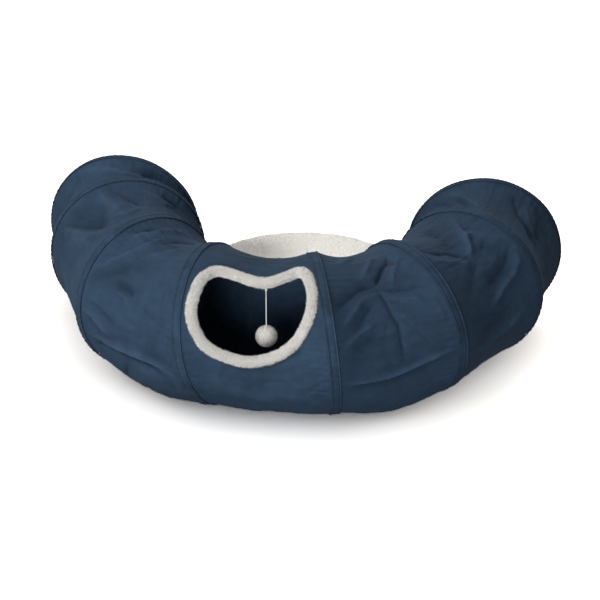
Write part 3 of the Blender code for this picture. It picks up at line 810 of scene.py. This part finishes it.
def dressed_grid(panel):
    """A panel's fine outer grid after its drape, with hems that run under both casings, its UVs and its painted
    shade and highlight.
    """
    _, left, right, rows, growth = panel
    points, turns, length, height = panel_grid(panel, rows, COLUMNS)
    coarse, *_ = panel_grid(panel, rows // COARSE, COLUMNS // COARSE, folded=False)
    points = points + finer(drape(coarse, growth), rows + 1, COLUMNS)
    points[..., 2] = np.maximum(points[..., 2], PANEL_FLOOR)
    first = hoop_points(left, turns, FABRIC_RADIUS, HEM)[None]
    last = hoop_points(right, turns, FABRIC_RADIUS, -HEM)[None]
    points = np.concatenate([first, points, last])
    across = np.concatenate([[-CASING_WIDTH / 2], np.linspace(0, length, rows + 1), [length + CASING_WIDTH / 2]])
    uv = np.stack(np.broadcast_arrays(across[:, None], turns[None] * FABRIC_GIRTH), -1)
    flat = np.zeros((1, COLUMNS))
    # Painted shade in the folds' creases and painted highlight on their ridges, from the fold heights
    painted_shade_level = np.concatenate([flat, height, flat]) / FOLD_FOR_FULL_PAINTED_SHADE
    return points, uv, np.clip(painted_shade_level, -1, 1)


def blend_points(left, right, radius):
    """The two hoops' planes at one distance from the mat's middle, as a start and an end point."""
    low, high = (hoop_matrix(hoop) @ Vector((0, radius - RING_RADIUS, 0)) for hoop in (left, right))
    normals = [hoop_matrix(hoop).to_3x3() @ Vector((0, 0, 1)) for hoop in (left, right)]
    along = (normals[0] + normals[1]).normalized()
    return low, low + along * (high - low).dot(along)


def slab_mesh(name, outer, inner, uv, painted_shade_level, kept):
    """A closed sheet between two grids of points, from the quads that are kept."""
    rows, columns = outer.shape[:2]
    count = rows * columns
    top = grid_quads(rows, columns, closed_columns=False)[kept.ravel()]
    starts = top.ravel()
    ends = np.roll(top, -1, axis=1).ravel()
    border = ~np.isin(starts * count + ends, ends * count + starts)
    a, b = starts[border], ends[border]
    walls = np.stack([b, a, a + count, b + count], -1)
    quads = np.concatenate([top, top[:, ::-1] + count, walls])
    used, quads = np.unique(quads, return_inverse=True)

    def twice(face, back):
        return np.concatenate([face, back]).reshape(2 * count, -1)[used]

    mesh = fast_mesh(name, twice(outer, inner), quads.reshape(-1, 4))
    add_uv(mesh, twice(uv, uv))
    add_painted_shading(mesh, twice(painted_shade_level, painted_shade_level).ravel())
    return mesh


def make_band(name, columns, points, inner, uv, painted_shade_level, kept, material):
    """One band of a panel as a closed sheet, made of one strip for each run of columns."""
    made = []
    for first, last in columns:
        run = np.arange(first, last + 1 + UNDERLAP_COLUMNS)
        pick = run % COLUMNS
        strip_uv = uv[:, pick].copy()
        strip_uv[..., 1] = run / COLUMNS * FABRIC_GIRTH
        way_in = (inner[:, pick] - points[:, pick]) / FABRIC_THICKNESS
        drop = way_in * ((run > last) * UNDERLAP_DROP)[None, :, None]
        faces = points[:, pick] + drop, inner[:, pick] + drop
        mesh = slab_mesh(name, *faces, strip_uv, painted_shade_level[:, pick], kept[:, pick[:-1]])
        made.append(new_object(name, mesh, material))
    if len(made) > 1:
        with bpy.context.temp_override(active_object=made[0], selected_editable_objects=made):
            bpy.ops.object.join()
    made[0].name = name
    return made[0]


def make_panels(material):
    """All seven panels, each in bands. Returns the middle panel's grid, which the rim follows."""
    for panel in PANELS:
        name, left, right, rows, _ = panel
        points, uv, painted_shade_level = dressed_grid(panel)
        inner = points - grid_normals(points) * FABRIC_THICKNESS
        kept = np.ones((len(points) - 1, COLUMNS), bool)
        parts = (("", 0, len(points), left, right, 0.0, 1.0),)
        if name == "panel_centre":
            centre_points = points
            kept = hole_mask(rows)
            half = len(points) // 2
            parts = (
                ("_left", 0, half + 1, left, "centre", 0.0, 0.5),
                ("_right", half, len(points), "centre", right, 0.5, 1.0),
            )
        for suffix, first, last, body_a, body_b, low, high in parts:
            grids = [grid[first:last] for grid in (points, inner, uv, painted_shade_level)] + [kept[first:last - 1]]
            for band, columns, radius in BANDS:
                piece = make_band(f"{name}{suffix}_{band}", columns, *grids, material)
                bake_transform(piece)
                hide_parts(name)
    return centre_points


# Casings

def ring_mesh(name, hoop, profile, steps, ripple=None):
    """A closed band round a hoop from a closed profile of (radius, along) points."""
    t = np.arange(steps)[:, None] / steps
    radius, along = np.array(profile).T[:, None]
    if ripple:
        radius = radius + ripple(hoop, t, along)
    points = hoop_points(hoop, np.broadcast_to(t, (steps, len(profile))), radius, along)
    points[..., 2] = np.maximum(points[..., 2], CASING_FLOOR)
    mesh = fast_mesh(name, points, grid_quads(steps, len(profile), True))
    girth = np.cumsum([0] + [math.dist(a, b) for a, b in zip(profile, profile[1:])])
    add_uv(mesh, np.stack(np.broadcast_arrays(girth[None], t * math.tau * HOOP_RADIUS), -1))
    return mesh


def outer_side(hoop):
    return -1 if hoop.startswith("left") else 1


def hill(place, middle, width):
    return math.exp(-(((place - middle) / width) ** 2))


def casing_ripple(hoop, t, along):
    """Gathers of a casing: strongest between its stitch lines and its edges."""
    seed = sum(ord(letter) for letter in hoop)
    chance = np.random.default_rng(seed)
    waves = [(chance.integers(50, 120), chance.uniform(0, math.tau), chance.uniform(-60, 60)) for _ in range(6)]
    total = sum(np.sin(count * math.tau * t + phase + lean * along) for count, phase, lean in waves)
    low = np.sin(9 * math.tau * t + seed) * CASING_WAVE
    return total * CASING_GATHER * (0.4 + 0.6 * np.abs(along) / (CASING_WIDTH / 2)) + low


def casing_profile(hoop):
    """Outer face with two ridges, two stitched grooves and a hump over the wire, and a flat inner face."""
    half = CASING_WIDTH / 2
    inner = HOOP_RADIUS - CASING_THICKNESS + 0.0001
    at_end = hoop.endswith("_0")
    start = HEM if at_end else half
    outside = []
    for share in np.linspace(0, 1, 15):
        along = start + (-half - start) * share
        edge = abs(along) / half
        ridged = HOOP_RADIUS + CASING_RIDGE * hill(edge, RIDGE_SHARE, 0.1)
        sewn = ridged - CASING_GROOVE * hill(edge, STITCH_SHARE, 0.07)
        outside.append((sewn + CASING_HUMP * hill(along, 0, HUMP_WIDTH), along))
    if not at_end:
        return outside + [(inner, -half), (inner, half)]
    lip = HOOP_RADIUS - END_FLANGE
    skin = HEM + CASING_THICKNESS
    rounded = [(HOOP_RADIUS - 0.0006, skin), (HOOP_RADIUS + 0.0002, skin - 0.0005)]
    flange = [(lip, HEM), (lip - 0.0004, HEM + 0.0006), (lip, skin), *rounded]
    profile = flange + outside + [(inner, -half), (inner, HEM)]
    if outer_side(hoop) < 0:
        profile = [(radius, -along) for radius, along in reversed(profile)]
    return profile


def casing_painted_shading(hoop, profile):
    """Painted highlight on a casing's ridges, painted shade in its stitch grooves and at its edges, and an end
    hoop's border of painted shade.
    """
    values = []
    for _, along in profile:
        edge = abs(along) / (CASING_WIDTH / 2)
        value = hill(edge, RIDGE_SHARE, 0.1) - 1.3 * hill(edge, STITCH_SHARE, 0.08)
        value -= 1.5 if edge > 0.98 else 0
        if hoop.endswith("_0") and along * outer_side(hoop) > HEM - END_BORDER:
            value = -2
        values.append(value)
    return values


def sleeve_profile(hoop):
    """A thin tape inside the fabric, with a channel round the wire. An end hoop's stops at the channel."""
    low = FABRIC_RADIUS - FABRIC_THICKNESS - 0.0004
    floor = FABRIC_RADIUS - WIRE_DIAMETER - 0.0004
    outer = [(low, 0.0065), (low, 0.0046), (floor, 0.0022)]
    inner = [(floor - 0.001, 0.0024), (low - 0.001, 0.0048), (low - 0.0009, 0.0065)]
    mirrored = [[(radius, -along) for radius, along in reversed(side)] for side in (outer, inner)]
    profile = outer + mirrored[0] + mirrored[1] + inner
    if hoop.endswith("_0"):
        return [(radius, along) for radius, along in profile if along * outer_side(hoop) <= 0.0024]
    return profile


def make_stitches(name, hoop, material):
    """Rows of short raised stitches round a hoop."""
    reach = STITCH_LENGTH_SHARE / STITCHES
    radius = HOOP_RADIUS - STITCH_HEIGHT
    shape = np.array([
        (end * reach, radius + lift * STITCH_HEIGHT * size, across * STITCH_WIDTH * size)
        for end, size in ((-1, 0.4), (-0.6, 1), (0.6, 1), (1, 0.4))
        for across, lift in ((-1, -0.6), (-0.7, 0.7), (0.7, 0.7), (1, -0.6))
    ])
    sides = (-outer_side(hoop),) if hoop.endswith("_0") else (-1, 1)
    places = np.array([((i + 0.5) / STITCHES, 0, side * CASING_WIDTH / 2 * STITCH_SHARE)
                       for side in sides for i in range(STITCHES)])
    quads = np.concatenate([grid_quads(4, 4)[:, ::-1], [(0, 1, 2, 3), (15, 14, 13, 12)]])
    points, quads = repeated(shape, quads, places)
    return new_object(name, fast_mesh(name, hoop_points(hoop, *points.T), quads), material)


def make_casings(tape, thread):
    for hoop in HOOPS:
        profile = casing_profile(hoop)
        mesh = ring_mesh("casing_" + hoop, hoop, profile, CASING_STEPS, casing_ripple)
        # Painted highlight on the casing's ridges; painted shade in its stitch grooves, at its edges and on an
        # end hoop's border
        add_painted_shading(mesh, np.tile(casing_painted_shading(hoop, profile), CASING_STEPS))
        hand_over(new_object("band_" + hoop, mesh, tape), hoop, "navy_tape", "casing_" + hoop)
        mesh = ring_mesh("sleeve", hoop, sleeve_profile(hoop), SLEEVE_STEPS)
        hand_over(new_object("sleeve_" + hoop, mesh, tape), hoop, "navy_tape")
        hand_over(make_stitches("stitches_" + hoop, hoop, thread), hoop, "navy_tape")


# Rim of the peephole

def add_fibres(name, roots, normals, pile, seed, material):
    """Thin bent blades that stand on a surface."""
    length, width, curl = pile
    chance = np.random.default_rng(seed)
    count = len(roots)
    side = chance.normal(size=(count, 3))
    side = unit(side - normals * (side * normals).sum(-1, keepdims=True))
    lean = np.cross(normals, side) * chance.uniform(-curl, curl, (count, 1))
    lean = lean + side * chance.uniform(0, curl, (count, 1))
    size = length * chance.uniform(0.65, 1.1, (count, 1))
    half = unit(np.cross(normals, lean + side * 0.3)) * (width / 2)
    base = roots - normals * FIBRE_ROOT
    middle = roots + normals * size * 0.55 + lean * size * 0.3
    tip = roots + normals * size * 0.85 + lean * size
    levels = ((base, 1.0, -1), (middle, 0.8, 1), (tip, 0.2, 1))
    corners = [place + sign * way * share * half for place, share, sign in levels for way in (1, -1)]
    start = np.arange(count)[:, None] * len(corners)
    quads = np.concatenate([start + np.array([0, 1, 2, 3]), start + np.array([3, 2, 4, 5])])
    return new_object(name, fast_mesh(name, np.stack(corners, 1), quads), material)


def rim_shares(count):
    return cubic(np.array(RIM_SHARES), np.arange(count) / count * len(RIM_SHARES), True)


def hole_mask(rows):
    """Quads of the middle panel's grid that lie outside the rim's middle line."""
    shares = rim_shares(160)
    u = (np.arange(rows + 2) - 0.5)[:, None] / rows
    t = ((np.arange(COLUMNS) + 0.5) / COLUMNS)[None]
    u, t = np.broadcast_arrays(u, t)
    inside = np.zeros(u.shape, bool)
    for (u0, t0), (u1, t1) in zip(shares, np.roll(shares, -1, axis=0)):
        if t0 != t1:
            inside ^= ((t0 > t) != (t1 > t)) & (u < (u1 - u0) * (t - t0) / (t1 - t0) + u0)
    return ~inside


def smooth_ring(values, times):
    for _ in range(times):
        values = (np.roll(values, 1, axis=0) + 2 * values + np.roll(values, -1, axis=0)) / 4
    return values


def rim_line(points, count):
    """The rim's middle line on the middle panel's grid: places, outward normals and ways out of the hole."""
    rows = len(points) - 3
    normals = grid_normals(points)
    points = points - normals * FABRIC_THICKNESS / 2
    shares = rim_shares(count)
    across, round_it = shares[:, 0] * rows + 1, (shares[:, 1] % 1) * COLUMNS
    i, j = across.astype(int), round_it.astype(int)
    s, r = (across - i)[:, None], (round_it - j)[:, None]

    def sample(values):
        k = (j + 1) % COLUMNS
        low = values[i, j] * (1 - r) + values[i, k] * r
        high = values[i + 1, j] * (1 - r) + values[i + 1, k] * r
        return low * (1 - s) + high * s

    places, lifted = smooth_ring(sample(points), 18), unit(smooth_ring(sample(normals), 55))
    ahead = np.roll(places, -1, axis=0) - np.roll(places, 1, axis=0)
    out = unit(np.cross(lifted, ahead))
    if (out * (places - places.mean(0))).sum() < 0:
        out = -out
    return places, lifted, out


def rim_halves(places, start, end):
    """Two runs of indexes of the rim's line, left and right of the middle between the two middle hoops."""
    along = np.array(end - start)
    share = (places - np.array(start)) @ along / (along @ along)
    left = share < 0.5
    count = len(places)
    first = next(i for i in range(count) if left[i] and not left[i - 1])
    order = (np.arange(count) + first) % count
    size = int(left.sum())
    return order[: size + 1], np.concatenate([order[size:], order[:1]])


def make_rim(centre_points, material, shaded_roots_material):
    """Fleece roll round the peephole, in a left and a right half."""
    places, lifted, out = rim_line(centre_points, RIM_STEPS)
    angle = angles(RIM_SIDES)
    up = lifted[:, None] * np.sin(angle)[None, :, None]
    outward = out[:, None] * np.cos(angle)[None, :, None]
    girth = np.cumsum(np.linalg.norm(np.roll(places, -1, 0) - places, axis=-1))[:, None]
    v = np.broadcast_to(angle[None] * RIM_DIAMETER / 2, (RIM_STEPS, RIM_SIDES))
    knobs = np.abs(noise_waves(girth, v, 12, 40, 190, 360)) ** 0.6 - 0.8
    lumps = noise_waves(girth, v, 11, 30, 40, 110) * 0.0004 + knobs * 0.0016
    radius = RIM_DIAMETER / 2 - RIM_SINK + lumps
    points = places[:, None] + (up * RIM_FLATNESS + outward) * radius[..., None]
    start, end = blend_points("left_3", "right_3", RIM_FOLD_RADIUS)
    halfway = start.lerp(end, 0.5)
    halves = (("left", "left_3", "centre", start, halfway), ("right", "centre", "right_3", halfway, end))
    for (suffix, *blended), index in zip(halves, rim_halves(places, start, end)):
        part = points[index].reshape(-1, 3)
        whole = np.concatenate([part, [places[index[0]], places[index[-1]]]])
        mesh = capped_mesh("rim", whole, grid_quads(len(index), RIM_SIDES), (0, RIM_SIDES, len(part), -1),
                           (len(part) - RIM_SIDES, RIM_SIDES, len(part) + 1, 1))
        # The roll under the fibres is the fleece in darker colours: painted shade at the fibres' roots
        roll = new_object("rim_" + suffix, mesh, shaded_roots_material)
        picks = np.random.default_rng(5).integers(0, len(part), RIM_FIBRES)
        normals = (up + outward)[index].reshape(-1, 3)[picks]
        pile = add_fibres("rim_pile_" + suffix, part[picks], normals, RIM_PILE, 6, material)
        for piece in (roll, pile):
            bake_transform(piece)
        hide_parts("peephole_rim")


# Mat

def mat_radius():
    flank = math.sqrt(HOOP_RADIUS**2 - (HOOP_RADIUS - MAT_HEIGHT) ** 2)
    return RING_RADIUS - flank - MAT_CLEARANCE


def lathe(profile, steps):
    """A grid of points from (radius, height) pairs that turn about the mat's middle."""
    radius, height = np.array(profile).T[..., None]
    turns = angles(steps)[None]
    return np.stack(np.broadcast_arrays(radius * np.cos(turns), radius * np.sin(turns), height), -1)


def mat_surface():
    """Crowned round cushion as rings of points from the middle of the top to the foot of the side."""
    radius = mat_radius()
    crown = MAT_HEIGHT - MAT_SEAM_HEIGHT
    profile = []
    for share in np.linspace(0, 1, MAT_RINGS) ** 0.8:
        profile.append((radius * share, MAT_SEAM_HEIGHT + crown * (1 - share**6.0) ** (1 / 2.2)))
    for share in np.linspace(0, 1, MAT_SIDE_RINGS + 1)[1:]:
        bulge = math.sin(share * math.pi) * 0.004
        r = radius - 0.012 * share**2 - 0.001 + bulge * (1 - share)
        profile.append((r, MAT_SEAM_HEIGHT - (MAT_SEAM_HEIGHT - 0.0022) * share))
    points = lathe(profile, MAT_STEPS)
    x, y, _ = np.moveaxis(points, -1, 0)
    share = np.clip(np.array(profile)[:, :1] / radius, 0, 1)
    on_top = (np.arange(len(profile)) < MAT_RINGS)[:, None]
    puff = noise_waves(x, y, 21, 12, 4, 11) * 0.0012 + noise_waves(x, y, 22, 16, 18, 42) * 0.0003
    turns = angles(MAT_STEPS)
    gathers = sum(np.sin(count * turns + phase) for count, phase in ((31, 1.0), (47, 2.2), (73, 0.4))) * 0.0006
    points[..., 2] += on_top * (puff * (1 - share**6) - MAT_TUCK + gathers[None] * share**8 * (1 - share**40))
    return points


def make_mat(plush, rubber):
    """Cushion with its pile, piping and underside."""
    points = mat_surface()
    total = len(points)
    foot = (0.0, 0.0, points[-1, 0, 2])
    flat = np.concatenate([points[0, :1], points[1:].reshape(-1, 3), [foot]])
    quads = grid_quads(total - 1, MAT_STEPS)[:, ::-1] + 1
    last = len(flat) - 1
    mesh = capped_mesh("mat", flat, quads, (1, MAT_STEPS, 0, 1), (last - MAT_STEPS, MAT_STEPS, last, -1))
    cushion = new_object("mat_cushion", mesh, plush)
    hand_over(cushion, "mat", "plush", "mat_cover", "mat_filling")
    normals = grid_normals(points)
    up = normals if normals[10, 0, 2] > 0 else -normals
    chance = np.random.default_rng(31)
    radius = np.sqrt(chance.uniform(0, 1, MAT_FIBRES)) * mat_radius()
    inside = np.maximum(np.interp(radius, points[:MAT_RINGS, 0, 0], np.arange(MAT_RINGS)), 1)
    side = chance.integers(MAT_RINGS, total, MAT_SIDE_FIBRES)
    i = np.concatenate([inside.astype(int), side])
    j = chance.integers(0, MAT_STEPS, len(i))
    roots = points[i, j] + chance.normal(size=(len(i), 3)) * np.array([0.0012, 0.0012, 0])
    pile = add_fibres("mat_pile", roots, up[i, j], MAT_PILE, 32, plush)
    co = read_places(pile.data)
    co[:, 2] = np.maximum(co[:, 2], MAT_PILE_FLOOR)
    pile.data.vertices.foreach_set("co", co.ravel())
    pile.data.update()
    hand_over(pile, "mat", "plush")
    make_mat_piping(plush)
    make_mat_base(rubber)


def make_mat_piping(material):
    """A thin covered cord in the mat's seam."""
    steps, sides = 360, 10
    turns = angles(steps)[:, None]
    thick = PIPING_RADIUS + 0.00025 * np.sin(turns * 150)
    radius = mat_radius() - 0.0006 + thick * np.cos(angles(sides))[None]
    z = MAT_SEAM_HEIGHT - MAT_TUCK + thick * np.sin(angles(sides))[None]
    points = np.stack([radius * np.cos(turns), radius * np.sin(turns), z], -1)
    mesh = fast_mesh("piping", points, grid_quads(steps, sides, True))
    hand_over(new_object("mat_piping", mesh, material), "mat", "plush")


def make_mat_base(material):
    """Non-slip base: a thin disc with low dots underneath."""
    low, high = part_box("mat_base")
    radius = (high.x - low.x) / 2
    bottom, top = 0.0006, MAT_BASE_THICKNESS
    edge = ((radius, bottom), (radius + 0.0003, 0.0008), (radius + 0.0003, 0.0013), (radius, top))
    points = np.concatenate([lathe(edge, BASE_STEPS).reshape(-1, 3), [(0, 0, bottom), (0, 0, top)]])
    ring = 3 * BASE_STEPS
    mesh = capped_mesh("base", points, grid_quads(4, BASE_STEPS), (0, BASE_STEPS, ring + BASE_STEPS, -1),
                       (ring, BASE_STEPS, ring + BASE_STEPS + 1, 1))
    hand_over(new_object("mat_underside", mesh, material), "mat", "non_slip", "mat_base")
    reach = int(radius / DOT_PITCH) + 1
    run = range(-reach, reach + 1)
    places = [((column + 0.5 * (row % 2)) * DOT_PITCH, row * DOT_PITCH * DOT_ROW_SHARE, 0)
              for row in run for column in run]
    places = np.array([place for place in places if math.hypot(*place) <= radius - DOT_MARGIN])
    cap = np.array([(0, 1, 2, 3), (0, 3, 4, 7), (4, 5, 6, 7)])
    quads = np.concatenate([grid_quads(3, DOT_SIDES)[:, ::-1], cap + 2 * DOT_SIDES, cap[:, ::-1]])
    points, quads = repeated(lathe(DOT_RINGS, DOT_SIDES).reshape(-1, 3), quads, places)
    hand_over(new_object("mat_dots", fast_mesh("dots", points, quads), material), "mat", "non_slip")


# Tab, patch and toy

def rounded_copy(node, name, material, width, body):
    """A detailed copy of a small flat node: its own solid with rounded, finely divided edges."""
    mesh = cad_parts[node].data.copy()
    mesh.materials.clear()
    item = new_object(name, mesh, material)
    item.modifiers.new("weld", "WELD").merge_threshold = 0.00002
    bevel = item.modifiers.new("bevel", "BEVEL")
    bevel.width = width
    bevel.segments = 3
    bevel.angle_limit = math.radians(35)
    item.data = bpy.data.meshes.new_from_object(item.evaluated_get(bpy.context.evaluated_depsgraph_get()))
    item.modifiers.clear()
    bpy.data.meshes.remove(mesh)
    item.data.shade_smooth()
    item.data.set_sharp_from_angle(angle=math.radians(60))
    hand_over(item, body, "navy_tape", node)


def make_curve(name, points, depth, material, closed=False):
    curve = bpy.data.curves.new(name, "CURVE")
    curve.dimensions = "3D"
    curve.bevel_depth = depth
    curve.bevel_resolution = 4
    curve.use_fill_caps = not closed
    line = curve.splines.new("POLY")
    line.points.add(len(points) - 1)
    for point, place in zip(line.points, points):
        point.co = (*place, 1.0)
    line.use_cyclic_u = closed
    curve.materials.append(material)
    return add_to_scene(name, curve)


def middle_and_reach(node):
    """The middle of a node's box, and half its height."""
    low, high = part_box(node)
    return (low + high) / 2, (high.z - low.z) / 2


def make_loop(name, node, across, steps, material):
    """An upright ring of elastic in a node's place."""
    middle, reach = middle_and_reach(node)
    ways = [Vector((math.cos(a) * across[0], math.cos(a) * across[1], math.sin(a))) for a in angles(steps)]
    points = [middle + way * (reach - STRAND_RADIUS) for way in ways]
    return make_curve(name, points, STRAND_RADIUS, material, closed=True)


def make_toy(elastic, fleece):
    """Elastic loop through the tab's eye, knot with its winding, string and fleece ball."""
    low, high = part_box("toy_string")
    x, y = (low.x + high.x) / 2, (low.y + high.y) / 2
    points = [Vector((x, y, high.z + (low.z - high.z) * i / 14)) for i in range(15)]
    string = make_curve("toy_cord", points, STRAND_RADIUS, elastic)
    centre, radius = middle_and_reach("toy_ball")
    bpy.ops.mesh.primitive_uv_sphere_add(segments=64, ring_count=40, radius=radius - 0.0012, location=centre)
    ball = bpy.context.object
    ball.name = "toy_pompom"
    co = read_places(ball.data).astype(float)
    way = unit(co)
    x, y, z = way.T
    lumps = noise_waves(x * 0.02 + z * 0.013, y * 0.02 - z * 0.012, 41, 30, 80, 260)
    co += way * lumps[:, None] * 0.0004
    ball.data.vertices.foreach_set("co", co.astype(np.float32).ravel())
    ball.data.materials.append(fleece)
    ball.data.shade_smooth()
    ways = unit(np.random.default_rng(42).normal(size=(TOY_FIBRES, 3)))
    roots = np.array(centre) + ways * (radius - 0.0014)
    pile = add_fibres("toy_pile", roots, ways, TOY_PILE, 43, fleece)
    loop = make_loop("toy_elastic", "toy_loop", (0, 1), 48, elastic)
    knot = make_loop("toy_hitch", "toy_knot", (1, 0), 40, elastic)
    middle, reach = middle_and_reach("toy_knot")
    wraps = []
    for share in np.arange(49) / 48:
        a = share * math.tau * WINDING_TURNS
        low = STRAND_RADIUS - reach - 0.0006 - 0.0022 * share
        wraps.append(middle + Vector((math.cos(a) * WINDING_RADIUS, math.sin(a) * WINDING_RADIUS, low)))
    winding = make_curve("toy_winding", wraps, WINDING_THICKNESS / 2, elastic)
    hand_over(ball, "toy", "fleece", "toy_ball")
    hand_over(string, "toy", "white_elastic", "toy_string")
    hand_over(knot, "toy", "white_elastic", "toy_knot")
    hand_over(pile, "toy", "fleece")
    hand_over(winding, "toy", "white_elastic")
    hand_over(loop, "toy_loop", "white_elastic", "toy_loop")


make_camera()
make_stage()
suede = suede_material("suede", (0.0185, 0.0370, 0.0650))
tape = tape_material("tape", (0.0185, 0.0365, 0.0640))
thread = tape_material("thread", (0.023, 0.042, 0.076))
fleece = pile_material("fleece", (0.74, 0.72, 0.685), (0.90, 0.88, 0.85), 420.0, 0.25, 1.8)
# The fleece in darker colours, as painted shade at the roots under the rim's fibres
fleece_roots_painted_shade = pile_material("fleece_roots_painted_shade", (0.56, 0.54, 0.505), (0.78, 0.76, 0.72), 420.0, 0.2, 1.8)
plush = pile_material("plush", (0.86, 0.83, 0.79), (0.95, 0.925, 0.885), 260.0, 0.25, 0.3)
elastic = elastic_material("elastic", (0.82, 0.82, 0.80))
rubber = rubber_material("rubber", (0.03, 0.03, 0.033))
steel = steel_material("steel", (0.55, 0.55, 0.56))
make_toy(elastic, fleece)
rounded_copy("toy_tab", "toy_hanger", tape, 0.0003, "centre")
centre_points = make_panels(suede)
make_casings(tape, thread)
make_rim(centre_points, fleece, fleece_roots_painted_shade)
make_mat(plush, rubber)
rounded_copy("hook_patch", "patch", tape, 0.0003, "centre")
rounded_copy("mat_tab", "tab", tape, 0.0004, "mat")
for hoop in HOOPS:
    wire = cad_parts["hoop_" + hoop].data
    wire.materials.clear()
    wire.materials.append(steel)
